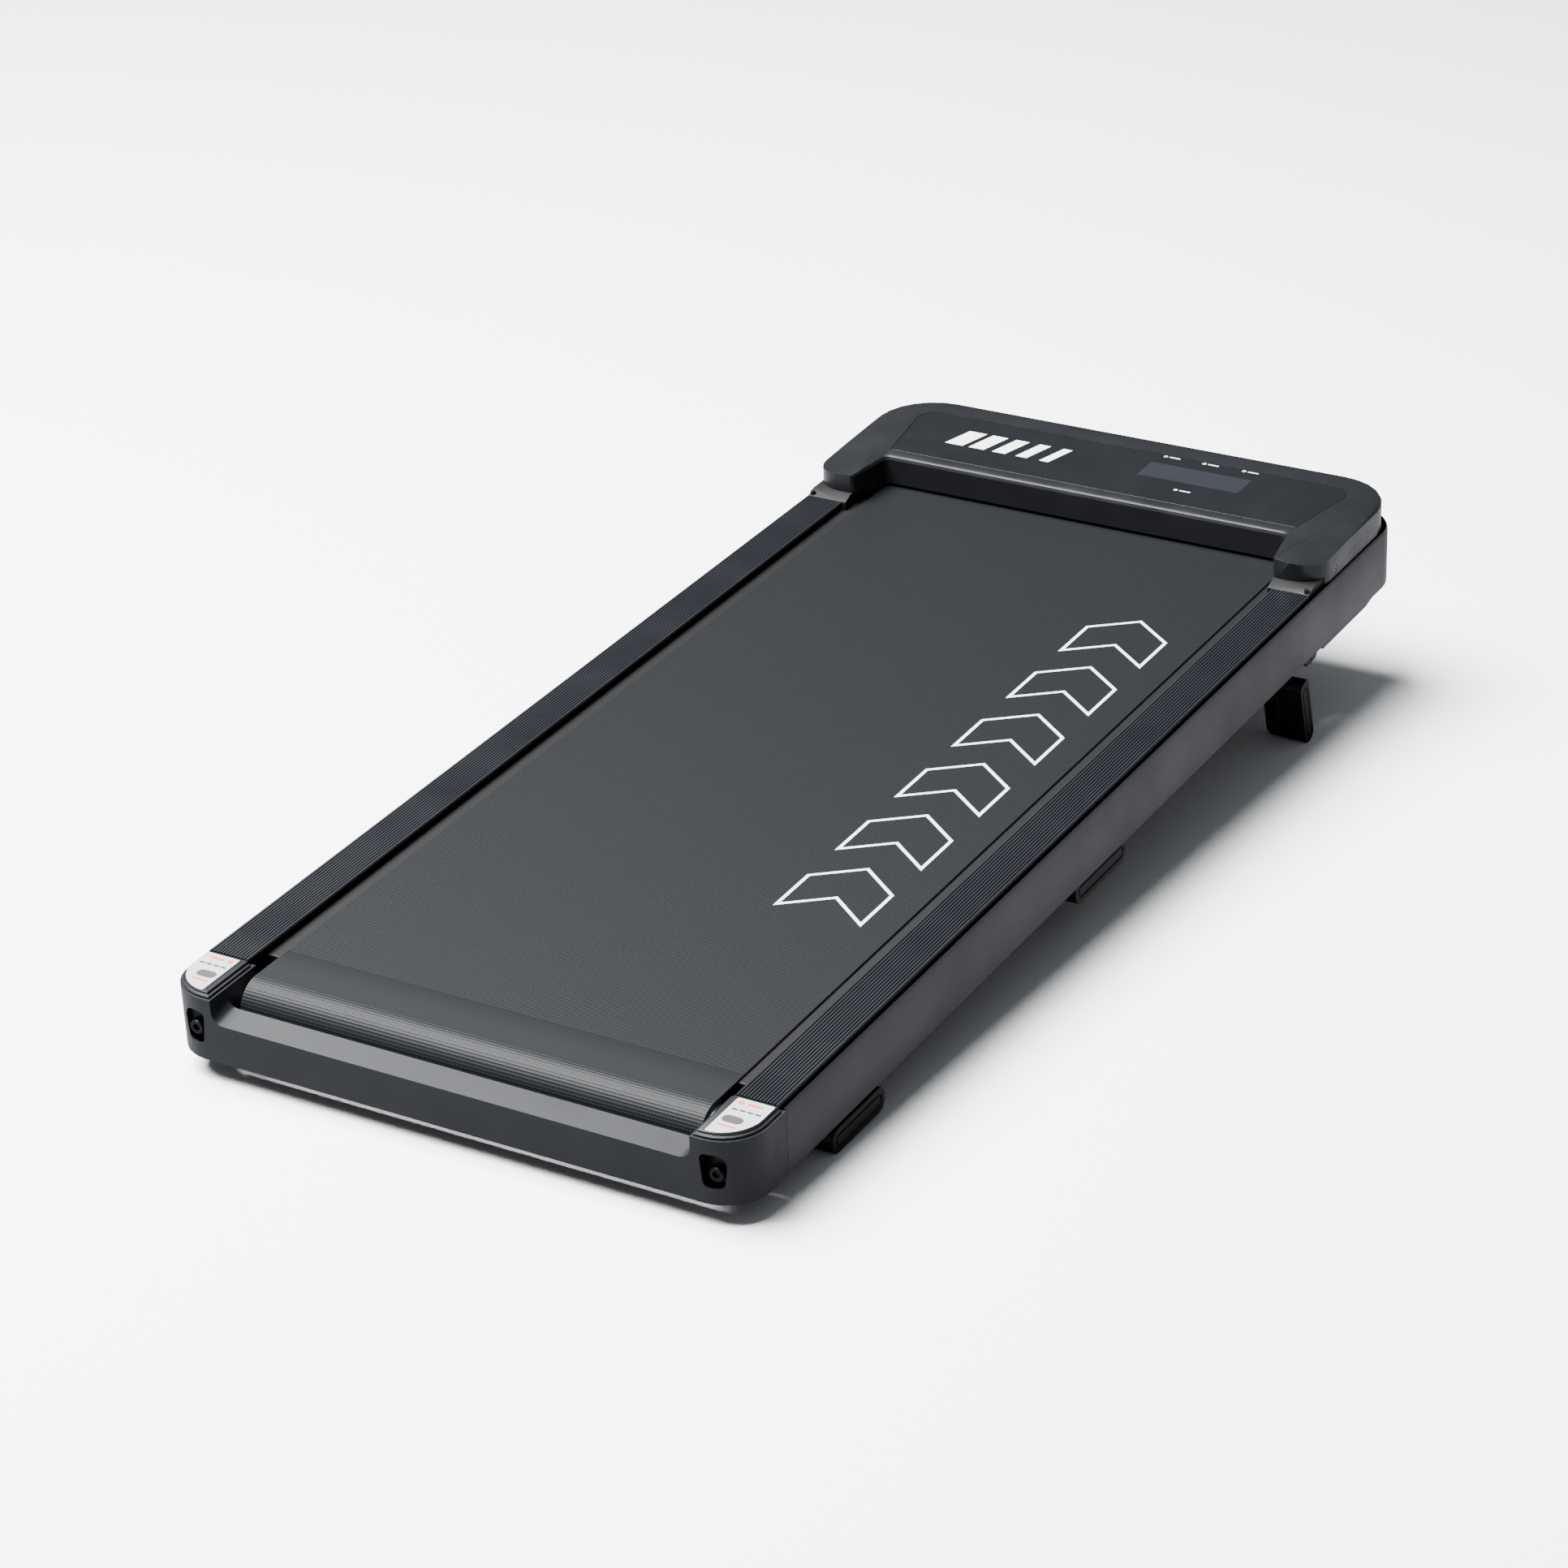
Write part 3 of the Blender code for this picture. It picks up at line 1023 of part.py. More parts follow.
def build_fixed_feet():
    """Rubber feet under the frame: a pair near the rear and a pair at the middle."""
    places = (
        ("rear", REAR_FOOT_START, REAR_FOOT_LENGTH, REAR_FOOT_INSET),
        ("middle", MIDDLE_FOOT_START, MIDDLE_FOOT_LENGTH, MIDDLE_FOOT_INSET),
    )
    edge = FOOT_GROOVE_MARGIN
    for place, start, length, back in places:
        outer = HALF - back
        inner = outer - FOOT_WIDTH
        bar = foot_side(start, length, -FLAT_HEIGHT, FOOT_THICKNESS, FOOT_EDGE_RADIUS)
        depth = FOOT_THICKNESS - 2 * edge
        track = foot_side(start + edge, length - 2 * edge, -FLAT_HEIGHT + edge, depth, depth * 0.48)
        for name, side in SIDES:
            x0, x1 = span(side, inner, outer)
            foot = placed(f"{place}_foot_{name}", prism(bar, x0, x1, "x"), "foot_rubber")
            n0, n1 = span(side, max(FRAME_INNER, inner) + 0.001, min(outer, HALF - COVER_LIP) - 0.001)
            neck = block(n0, n1, start + 0.012, start + length - 0.012, FOOT_TOP - 0.001, UNDER_FRAME)
            combined(foot, neck, "UNION")
            s0, s1 = span(side, outer - FOOT_GROOVE_DEPTH, outer + 0.001)
            combined(foot, groove_ring(track, s0, s1))


def leaned(points):
    """Turns (along the foot, across it) to the unfolded foot's lean; along runs down from the pivot."""
    way = (sin(INCLINE_LEAN), -cos(INCLINE_LEAN))
    return [(PIVOT_Y + a * way[0] - b * way[1], PIVOT_Z + a * way[1] + b * way[0]) for a, b in points]


def capsule(start, end, radius, steps=6):
    """A bar with half-round ends, as (along, across) points."""
    first = arc((start + radius, 0), radius, pi / 2, 3 * pi / 2, steps)
    return first + arc((end - radius, 0), radius, -pi / 2, pi / 2, steps)


def build_incline_feet():
    """Folding feet under the front of the rails, unfolded, with the brackets that carry them."""
    half = INCLINE_THICKNESS / 2
    end = INCLINE_LENGTH
    tip = INCLINE_TIP_RADIUS
    thin = half - INCLINE_STEP
    last = end - INCLINE_STEP
    back = -half - INCLINE_RIB
    arm = arc((0, 0), thin, pi / 2, 3 * pi / 2, 8)
    arm += [(INCLINE_RIB_START, -thin), (INCLINE_RIB_START + 0.004, back)]
    arm += [(end - 0.012, back), (end - 0.0075, -thin)]
    arm += arc((last - tip, tip - thin), tip, 3 * pi / 2, 2 * pi, 4)
    arm += arc((last - tip, thin - tip), tip, 0, pi / 2, 4)
    first = INCLINE_BAR_START
    bar = rounded([(first, -half, 0.006), (end, -half, tip), (end, half, tip), (first, half, 0.004)])
    track = capsule(first + 0.006, end - 0.006, half - 0.0035)
    low, high = FLUTE_SPAN
    flute = [(low, back - 0.001), (high, back - 0.001), (high, back + 0.0015), (low, back + 0.0015)]
    centre = (0, PIVOT_Y, PIVOT_Z)
    lug_inner = INCLINE_ARM_OUTER + LUG_CLEARANCE
    lug = arc((PIVOT_Y, PIVOT_Z), LUG_RADIUS, pi, 2 * pi, 8)
    lug += [(PIVOT_Y + LUG_RADIUS, UNDER_FRAME), (PIVOT_Y - LUG_RADIUS, UNDER_FRAME)]
    for name, side in SIDES:
        x0, x1 = span(side, INCLINE_INNER, INCLINE_ARM_OUTER)
        foot = placed(f"incline_foot_{name}", prism(leaned(arm), x0, x1, "x"), "foot_rubber", centre)
        x0, x1 = span(side, INCLINE_ARM_OUTER - 0.0005, INCLINE_OUTER)
        combined(foot, prism(leaned(bar), x0, x1, "x"), "UNION")
        x0, x1 = span(side, INCLINE_INNER - 0.001, INCLINE_ARM_OUTER + 0.001)
        combined(foot, rod(PIN_RADIUS + PIN_CLEARANCE, x0, x1, centre, steps=20))
        x0, x1 = span(side, INCLINE_OUTER - FOOT_GROOVE_DEPTH, INCLINE_OUTER + 0.001)
        combined(foot, groove_ring(leaned(track), x0, x1))
        x0, x1 = span(side, INCLINE_INNER + 0.004, INCLINE_INNER + 0.0075)
        combined(foot, prism(leaned(flute), x0, x1, "x"))

        x0, x1 = span(side, lug_inner, lug_inner + LUG_WIDTH)
        bracket = placed(f"foot_bracket_{name}", prism(lug, x0, x1, "x"), "coated_metal")
        x0, x1 = span(side, FRAME_INNER + 0.001, HALF - COVER_LIP - 0.001)
        y0, y1 = PIVOT_Y - FLANGE_HALF, PIVOT_Y + FLANGE_HALF
        combined(bracket, block(x0, x1, y0, y1, UNDER_FRAME - FLANGE_THICKNESS, UNDER_FRAME), "UNION")
        x0, x1 = span(side, INCLINE_INNER + 0.002, lug_inner + LUG_WIDTH - 0.001)
        combined(bracket, rod(PIN_RADIUS, x0, x1, centre, steps=20), "UNION")


def build_wheels():
    """Transport wheels under the motor bay, each on a fork with its own pin."""
    r = WHEEL_RADIUS
    half = FORK_HALF
    roof = UNDER_FRAME - FORK_ROOF
    gap = LUG_CLEARANCE
    cheek = arc((WHEEL_Y, WHEEL_Z), half, pi, 2 * pi, 6)
    cheek += [(WHEEL_Y + half, roof + 0.0005), (WHEEL_Y - half, roof + 0.0005)]
    ears = (WHEEL_INNER - gap - FORK_THICKNESS, WHEEL_OUTER + gap)
    for name, side in SIDES:
        centre = (0, WHEEL_Y, WHEEL_Z)
        low, high = span(side, WHEEL_INNER, WHEEL_OUTER)
        tyre = [(WHEEL_BORE, low), (r - TYRE_EDGE, low), (r, low + 0.0015), (r, high - 0.0015)]
        tyre += [(r - TYRE_EDGE, high), (WHEEL_BORE, high)]
        placed(f"transport_wheel_{name}", turned(tyre, centre, steps=28), "foot_rubber", centre)
        x0, x1 = span(side, ears[0], ears[1] + FORK_THICKNESS)
        saddle = block(x0, x1, WHEEL_Y - half, WHEEL_Y + half, roof, UNDER_FRAME)
        fork = placed(f"wheel_fork_{name}", saddle, "coated_metal")
        for ear in ears:
            e0, e1 = span(side, ear, ear + FORK_THICKNESS)
            combined(fork, prism(cheek, e0, e1, "x"), "UNION")
        x0, x1 = span(side, ears[0] + 0.001, ears[1] + FORK_THICKNESS - 0.001)
        combined(fork, rod(WHEEL_BORE - PIN_CLEARANCE, x0, x1, centre, steps=16), "UNION")


def stand_on_floor(base):
    """Tips the machine until rear and incline feet share the floor, centred over the origin."""
    rear = Vector((REAR_FOOT_START + FOOT_EDGE_RADIUS, -FLAT_HEIGHT + FOOT_EDGE_RADIUS))
    tip = INCLINE_TIP_RADIUS
    across = INCLINE_THICKNESS / 2 - tip
    pitch = 0.0
    for y, z in leaned([(INCLINE_LENGTH - tip, across), (INCLINE_LENGTH - tip, -across)]):
        run = Vector((y, z)) - rear
        pitch = max(pitch, atan2(-run.y, run.x) + asin((tip - FOOT_EDGE_RADIUS) / run.length))
    base.matrix_world = Matrix.Rotation(pitch, 4, "X")
    bpy.context.view_layer.update()
    graph = bpy.context.evaluated_depsgraph_get()
    points = []
    for made in bpy.context.scene.objects:
        if made.type == "MESH" and not made.hide_render:
            shape = made.evaluated_get(graph)
            points += [shape.matrix_world @ v.co for v in shape.data.vertices]
    low = [min(p[k] for p in points) for k in range(3)]
    high = [max(p[k] for p in points) for k in range(3)]
    shift = Vector((-(low[0] + high[0]) / 2, -(low[1] + high[1]) / 2, -low[2]))
    base.matrix_world = Matrix.Translation(shift) @ Matrix.Rotation(pitch, 4, "X")
    bpy.context.view_layer.update()


def main():
    for old in list(bpy.data.objects):
        bpy.data.objects.remove(old)
    base = bpy.data.objects.new("treadmill", None)
    bpy.context.scene.collection.objects.link(base)
    build_frame()
    build_deck()
    build_rollers()
    build_drive()
    build_foot_rails()
    build_side_covers()
    build_rear_cover()
    build_corner_caps()
    build_belt_adjusters()
    build_hood()
    build_rail_end_blocks()
    build_front_panel()
    build_bottom_pan()
    build_fixed_feet()
    build_incline_feet()
    build_wheels()
    stand_on_floor(base)


main()
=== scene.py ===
"""Looks of a low walking treadmill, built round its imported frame.

Places are given in the machine's own level frame, in millimetres: X to the walker's right from the
centre plane, Y towards the hood from the rear end of the foot rails, Z up from the rail tops.
"""

import json
import logging
from dataclasses import dataclass, field
from enum import Enum
from math import atan2, cos, pi, radians, sin
from typing import Iterable, Sequence

import bmesh
import bpy
from mathutils import Matrix, Vector


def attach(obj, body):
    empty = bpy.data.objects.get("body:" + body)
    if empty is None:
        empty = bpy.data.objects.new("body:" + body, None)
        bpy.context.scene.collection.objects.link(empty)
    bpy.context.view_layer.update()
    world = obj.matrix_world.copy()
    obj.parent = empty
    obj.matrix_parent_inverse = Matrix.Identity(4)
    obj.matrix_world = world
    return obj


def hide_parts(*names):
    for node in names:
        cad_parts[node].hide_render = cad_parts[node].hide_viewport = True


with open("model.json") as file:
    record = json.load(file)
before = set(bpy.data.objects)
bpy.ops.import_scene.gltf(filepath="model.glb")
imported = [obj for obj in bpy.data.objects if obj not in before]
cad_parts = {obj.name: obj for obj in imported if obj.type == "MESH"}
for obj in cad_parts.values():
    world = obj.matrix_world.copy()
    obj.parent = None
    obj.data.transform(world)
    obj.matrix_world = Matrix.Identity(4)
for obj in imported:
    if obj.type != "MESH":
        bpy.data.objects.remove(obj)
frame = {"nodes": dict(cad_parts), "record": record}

LOG = logging.getLogger("treadmill")
MM = 0.001
CHASSIS = "chassis"
Point2 = tuple[float, float]
NOISE_RANGE = (0.3, 0.7)  # where nearly all of a noise pattern's values lie
GRAINY = 3.0  # octaves of a fine grain
CLOUDY = 4.0  # octaves of worn or clouded patches
MIX_FACTOR, MIX_LOW, MIX_HIGH, MIX_RESULT = 0, 6, 7, 2  # the mix node's colour sockets


class Side(Enum):
    """The two sides of the machine, by the sign of X."""

    LEFT = -1
    RIGHT = 1

    @property
    def word(self) -> str:
        """The side's name as the frame's nodes spell it."""
        return self.name.lower()


def linear(code: str) -> tuple[float, float, float, float]:
    """Turns an sRGB hex colour to linear light.

    Args:
        code: six hex digits after a hash sign.

    Returns:
        Red, green, blue and an alpha of 1.
    """
    shares = [int(code[i : i + 2], 16) / 255 for i in (1, 3, 5)]
    rgb = [s / 12.92 if s <= 0.04045 else ((s + 0.055) / 1.055) ** 2.4 for s in shares]
    return rgb[0], rgb[1], rgb[2], 1.0


def add_node(
    tree: bpy.types.NodeTree, kind: str, links: dict[str | int, object] | None = None, **settings: object
) -> bpy.types.Node:
    """Adds a shader node.

    Args:
        tree: the tree that gets it.
        kind: the node's Blender type.
        links: input name or number to a source socket, or to a plain value.
        settings: the node's own properties.

    Returns:
        The new node.
    """
    node = tree.nodes.new(kind)
    for key, value in settings.items():
        setattr(node, key, value)
    for name, source in (links or {}).items():
        if isinstance(source, bpy.types.NodeSocket):
            tree.links.new(source, node.inputs[name])
        else:
            node.inputs[name].default_value = source
    return node


def per_metre(millimetres: float) -> float:
    """Noise scale that gives features of that size."""
    return 1.0 / (millimetres * MM)


@dataclass(frozen=True)
class Finish:
    """A surface finish: the shader's constants, and the relief and mottle that subclasses add.

    A matt grain scatters the mirror reflection, so a grained finish has a gloss under 0.5.
    """

    label: str
    colour: str
    roughness: float
    metallic: float = 0.0
    ior: float = 1.5
    gloss: float = 0.5

    def relief(self, tree: bpy.types.NodeTree) -> bpy.types.NodeSocket | None:
        """Normal socket of the finish's bump, or None for a smooth one."""
        return None

    def tint(self, tree: bpy.types.NodeTree) -> bpy.types.NodeSocket | None:
        """Colour socket of the finish's mottle, or None for an even one."""
        return None

    def wear(self, tree: bpy.types.NodeTree) -> bpy.types.NodeSocket | None:
        """Roughness socket of the finish, or None for an even one."""
        return None

    def material(self) -> bpy.types.Material:
        """Builds the material once and hands the same one out after that.

        Returns:
            The material.
        """
        known = bpy.data.materials.get(self.label)
        if known:
            return known
        made = bpy.data.materials.new(self.label)
        made.use_nodes = True
        tree = made.node_tree
        shader = tree.nodes["Principled BSDF"]
        shader.inputs["Base Color"].default_value = linear(self.colour)
        shader.inputs["Roughness"].default_value = self.roughness
        shader.inputs["Metallic"].default_value = self.metallic
        if not self.metallic:
            shader.inputs["IOR"].default_value = self.ior
        shader.inputs["Specular IOR Level"].default_value = self.gloss
        patterns = {"Normal": self.relief(tree), "Base Color": self.tint(tree), "Roughness": self.wear(tree)}
        for name, pattern in patterns.items():
            if pattern is not None:
                tree.links.new(pattern, shader.inputs[name])
        made.diffuse_color = linear(self.colour)
        return made


def object_coordinates(tree: bpy.types.NodeTree) -> bpy.types.NodeSocket:
    """The coordinates, in metres, that a pattern is laid out in."""
    return add_node(tree, "ShaderNodeTexCoord").outputs["Object"]


def noise(tree: bpy.types.NodeTree, millimetres: float, detail: float = 2.0) -> bpy.types.NodeSocket:
    """Even noise with features of that size.

    Args:
        tree: the material's tree.
        millimetres: the size of one feature.
        detail: finer octaves.

    Returns:
        The noise value, 0 to 1.
    """
    links = {"Vector": object_coordinates(tree), "Scale": per_metre(millimetres), "Detail": detail}
    return add_node(tree, "ShaderNodeTexNoise", links).outputs["Fac"]


def ramp(
    tree: bpy.types.NodeTree, source: bpy.types.NodeSocket, low: float, high: float
) -> bpy.types.NodeSocket:
    """Stretches a noise value between two levels."""
    least, most = NOISE_RANGE
    links = {"Value": source, "From Min": least, "From Max": most, "To Min": low, "To Max": high}
    return add_node(tree, "ShaderNodeMapRange", links).outputs["Result"]


def shade_between(
    tree: bpy.types.NodeTree, source: bpy.types.NodeSocket, low: str, high: str
) -> bpy.types.NodeSocket:
    """Mixes two sRGB colours by a 0 to 1 value."""
    links = {MIX_FACTOR: source, MIX_LOW: linear(low), MIX_HIGH: linear(high)}
    return add_node(tree, "ShaderNodeMix", links, data_type="RGBA").outputs[MIX_RESULT]


def bumped(
    tree: bpy.types.NodeTree, height: bpy.types.NodeSocket, depth_mm: float, strength: float
) -> bpy.types.NodeSocket:
    """Turns a height into a normal, with the relief's real depth."""
    links = {"Height": height, "Distance": depth_mm * MM, "Strength": strength}
    return add_node(tree, "ShaderNodeBump", links).outputs["Normal"]


@dataclass(frozen=True)
class PowderCoat(Finish):
    """Powder-coated metal: a faint orange peel that softens the edges of reflections."""

    peel_mm: float = 2.2  # real peel is near 1 mm, drawn coarser so that it shows
    peel_depth_mm: float = 0.05
    peel_strength: float = 0.35
    drift_mm: float = 90.0
    rub_mm: float = 60.0
    rub_range: float = 0.05
    mottle: str = "#26282c"

    def relief(self, tree: bpy.types.NodeTree) -> bpy.types.NodeSocket:
        """Shallow orange peel."""
        return bumped(tree, noise(tree, self.peel_mm), self.peel_depth_mm, self.peel_strength)

    def tint(self, tree: bpy.types.NodeTree) -> bpy.types.NodeSocket:
        """Slow drift of tone, as handled paint has."""
        return shade_between(tree, noise(tree, self.drift_mm), self.colour, self.mottle)

    def wear(self, tree: bpy.types.NodeTree) -> bpy.types.NodeSocket:
        """Patches rubbed a little smoother."""
        patches = noise(tree, self.rub_mm, CLOUDY)
        return ramp(tree, patches, self.roughness - self.rub_range, self.roughness + self.rub_range)


@dataclass(frozen=True)
class SparkTexturedABS(Finish):
    """ABS from a spark-eroded mould: an even fine grain that turns glare into a soft sheen."""

    grain_mm: float = 1.6  # real grain is near 0.3 mm, drawn coarser so that it shows
    depth_mm: float = 0.05
    grain_strength: float = 0.4
    drift_mm: float = 70.0
    polish_mm: float = 45.0
    polish_range: float = 0.06
    mottle: str = "#1c1e21"

    def relief(self, tree: bpy.types.NodeTree) -> bpy.types.NodeSocket:
        """The mould's grain."""
        return bumped(tree, noise(tree, self.grain_mm, GRAINY), self.depth_mm, self.grain_strength)

    def tint(self, tree: bpy.types.NodeTree) -> bpy.types.NodeSocket:
        """Slow drift of tone across the moulding."""
        return shade_between(tree, noise(tree, self.drift_mm), self.colour, self.mottle)

    def wear(self, tree: bpy.types.NodeTree) -> bpy.types.NodeSocket:
        """Where hands and cloths have polished the grain."""
        patches = noise(tree, self.polish_mm, CLOUDY)
        return ramp(tree, patches, self.roughness - self.polish_range, self.roughness + self.polish_range)


@dataclass(frozen=True)
class MouldedRubber(Finish):
    """Moulded rubber: dull, with a dusty bloom in patches."""

    grain_mm: float = 1.8  # real grain is near 0.5 mm, drawn coarser so that it shows
    pit_depth_mm: float = 0.08
    pit_strength: float = 0.5
    bloom_mm: float = 18.0
    mottle: str = "#1b1c1e"

    def relief(self, tree: bpy.types.NodeTree) -> bpy.types.NodeSocket:
        """Pitted skin."""
        return bumped(tree, noise(tree, self.grain_mm, GRAINY), self.pit_depth_mm, self.pit_strength)

    def tint(self, tree: bpy.types.NodeTree) -> bpy.types.NodeSocket:
        """Bloom, paler where it has gathered."""
        return shade_between(tree, noise(tree, self.bloom_mm, CLOUDY), self.colour, self.mottle)


@dataclass(frozen=True)
class ZincPlatedSteel(Finish):
    """Plated steel or bare metal: a faintly uneven skin under a cloudy sheen."""

    skin_mm: float = 1.2  # real tool marks are near 0.4 mm, drawn coarser so that they show
    skin_depth_mm: float = 0.03
    skin_strength: float = 0.3
    cloud_mm: float = 8.0
    cloud_range: Point2 = (-0.08, 0.1)

    def relief(self, tree: bpy.types.NodeTree) -> bpy.types.NodeSocket:
        """Fine unevenness left by the tool."""
        return bumped(tree, noise(tree, self.skin_mm, CLOUDY), self.skin_depth_mm, self.skin_strength)

    def wear(self, tree: bpy.types.NodeTree) -> bpy.types.NodeSocket:
        """Cloudy plating."""
        smoother, duller = self.cloud_range
        clouds = noise(tree, self.cloud_mm, CLOUDY)
        return ramp(tree, clouds, self.roughness + smoother, self.roughness + duller)


@dataclass(frozen=True)
class WovenBeltPVC(Finish):
    """PVC belt embossed with a lattice of small diamonds, which sparkle where the belt curves; their peaks
    carry a painted highlight.
    """

    diamond_mm: float = 2.5
    depth_mm: float = 0.35
    strength: float = 0.6
    crest: float = 0.6  # the waves' height where a diamond's flat top starts
    # painted highlight: the paler colour the diamonds' peaks are painted with
    peak: str = "#15171a"

    def lattice(self, tree: bpy.types.NodeTree) -> bpy.types.NodeSocket:
        """Height of the diamonds, from the belt's own length and width.

        Args:
            tree: the material's tree.

        Returns:
            The height, 0 in the valleys and 1 on the peaks.
        """
        laid = add_node(tree, "ShaderNodeUVMap", uv_map="belt_metres").outputs["UV"]
        turn = 2 * pi / (self.diamond_mm * MM)
        parts = add_node(tree, "ShaderNodeSeparateXYZ", {0: laid})
        waves = []
        for operation in ("ADD", "SUBTRACT"):
            links = {0: parts.outputs[0], 1: parts.outputs[1]}
            both = add_node(tree, "ShaderNodeMath", links, operation=operation)
            angle = add_node(tree, "ShaderNodeMath", {0: both.outputs[0], 1: turn / 2}, operation="MULTIPLY")
            wave = add_node(tree, "ShaderNodeMath", {0: angle.outputs[0]}, operation="SINE")
            waves.append(wave.outputs[0])
        height = add_node(tree, "ShaderNodeMath", {0: waves[0], 1: waves[1]}, operation="MULTIPLY")
        links = {"Value": height.outputs[0], "From Min": -self.crest, "From Max": self.crest}
        return add_node(tree, "ShaderNodeMapRange", links, interpolation_type="SMOOTHSTEP").outputs["Result"]

    def relief(self, tree: bpy.types.NodeTree) -> bpy.types.NodeSocket:
        """The embossed lattice."""
        return bumped(tree, self.lattice(tree), self.depth_mm, self.strength)

    def tint(self, tree: bpy.types.NodeTree) -> bpy.types.NodeSocket:
        """Painted highlight: the diamonds' peaks are coloured paler than the valleys, standing in for the
        light they catch.
        """
        return shade_between(tree, self.lattice(tree), self.colour, self.peak)


@dataclass(frozen=True)
class ScreenPrint(Finish):
    """Screen-printed ink, thin enough that the surface's grain breaks it up a little."""

    gap_mm: float = 1.5
    faded: str = "#c9cbce"

    def tint(self, tree: bpy.types.NodeTree) -> bpy.types.NodeSocket:
        """Thin spots in the ink."""
        return shade_between(tree, noise(tree, self.gap_mm), self.colour, self.faded)


@dataclass(frozen=True)
class SeamlessPaper(Finish):
    """Backdrop paper: white to look at, and grey to whatever it bounces light on, as a flagged set is."""

    bounced: str = "#808184"

    def tint(self, tree: bpy.types.NodeTree) -> bpy.types.NodeSocket:
        """White for what is seen directly, grey for bounced light."""
        seen = add_node(tree, "ShaderNodeLightPath").outputs["Is Camera Ray"]
        return shade_between(tree, seen, self.bounced, self.colour)


HOOD_ABS = SparkTexturedABS("hood_spark_textured_abs", "#0b0c0e", 0.36, gloss=0.32, mottle="#101114")
COVER_ABS = SparkTexturedABS("cover_spark_textured_abs", "#101216", 0.44, gloss=0.22, mottle="#15171b")
CAP_ABS = SparkTexturedABS("cap_spark_textured_abs", "#0c0d10", 0.38, gloss=0.30, mottle="#101215")
DARK_ABS = SparkTexturedABS("inner_moulded_abs", "#060708", 0.55, gloss=0.2, mottle="#090a0b")
SIDE_COAT = PowderCoat("side_powder_coated_aluminium", "#17191d", 0.36, gloss=0.22, mottle="#1b1d22")
RAIL_COAT = PowderCoat(
    "rail_powder_coated_aluminium", "#111317", 0.38, gloss=0.30, peel_mm=1.8, mottle="#15171b"
)
FRAME_COAT = PowderCoat("frame_powder_coated_steel", "#0c0d0f", 0.50, gloss=0.25, mottle="#0f1012")
BELT_PVC = WovenBeltPVC("belt_embossed_pvc", "#08090b", 0.45, gloss=0.14)
BELT_PLY = MouldedRubber("belt_cut_ply", "#34363a", 0.75, gloss=0.2, mottle="#5c5e62")
FOOT_RUBBER = MouldedRubber("foot_moulded_rubber", "#090a0b", 0.55, gloss=0.3, mottle="#0e0f11")
PANEL_FILM = SparkTexturedABS("panel_satin_film", "#0b0c0e", 0.30, gloss=0.3, depth_mm=0.02, mottle="#0c0d10")
WINDOW_FILM = SparkTexturedABS(
    "window_smoked_acrylic", "#17191d", 0.22, gloss=0.4, depth_mm=0.005, mottle="#1a1c20"
)
ZINC = ZincPlatedSteel("zinc_plated_steel", "#8d8f92", 0.34, metallic=1.0)
BLACK_ZINC = ZincPlatedSteel("black_zinc_steel", "#1d1e21", 0.40, metallic=1.0)
SCREW_ZINC = ZincPlatedSteel("screw_zinc_steel", "#5c5e62", 0.34, metallic=1.0)
BARE_ALUMINIUM = ZincPlatedSteel("extruded_aluminium", "#a4a6a9", 0.42, metallic=1.0)
DECK_LAMINATE = MouldedRubber("deck_phenolic_laminate", "#060606", 0.6, gloss=0.2, mottle="#090909")
BOARD_MASK = SparkTexturedABS("board_solder_mask", "#0d3a22", 0.4, mottle="#11472a")
LABEL_FILM = ScreenPrint("label_silver_film", "#a4a6a8", 0.42, gap_mm=6.0, faded="#9c9ea1")
WHITE_INK = ScreenPrint("white_screen_print", "#dcdee0", 0.55, gloss=0.3)
RED_INK = ScreenPrint("red_screen_print", "#d8463f", 0.5, faded="#c83a34")
DARK_INK = ScreenPrint("dark_screen_print", "#2c2d30", 0.5, faded="#37383b")
FLOOR_PAPER = SeamlessPaper("floor_seamless_paper", "#f8f9fa", 0.9, gloss=0.1)

NODE_FINISH: dict[str, Finish] = {
    "hood_cover": HOOD_ABS, "rear_cover": COVER_ABS, "corner_cap": CAP_ABS, "side_cover": SIDE_COAT,
    "foot_rail": RAIL_COAT, "frame_rail": FRAME_COAT, "front_frame": FRAME_COAT,
    "cross_member": FRAME_COAT, "deck_board": DECK_LAMINATE, "deck_cushion": FOOT_RUBBER,
    "walking_belt": BELT_PVC, "front_roller": ZINC, "rear_roller": ZINC, "front_axle": ZINC,
    "rear_axle": ZINC, "roller_pulley": DARK_ABS, "motor_body": FRAME_COAT, "motor_pulley": ZINC,
    "motor_plate": FRAME_COAT, "drive_belt": FOOT_RUBBER, "controller": BARE_ALUMINIUM,
    "display_panel": PANEL_FILM, "display_board": BOARD_MASK, "hood_screw": SCREW_ZINC,
    "rail_end_block": DARK_ABS, "front_panel": COVER_ABS, "power_inlet": DARK_ABS,
    "switch_housing": DARK_ABS, "rocker_switch": HOOD_ABS, "breaker_button": HOOD_ABS,
    "bottom_pan": SIDE_COAT, "rear_foot": FOOT_RUBBER, "middle_foot": FOOT_RUBBER,
    "incline_foot": FOOT_RUBBER, "foot_bracket": FRAME_COAT, "transport_wheel": FOOT_RUBBER,
    "wheel_fork": FRAME_COAT, "axle_bracket": BLACK_ZINC, "tension_bolt": BLACK_ZINC,
    "label_plate": LABEL_FILM,
}


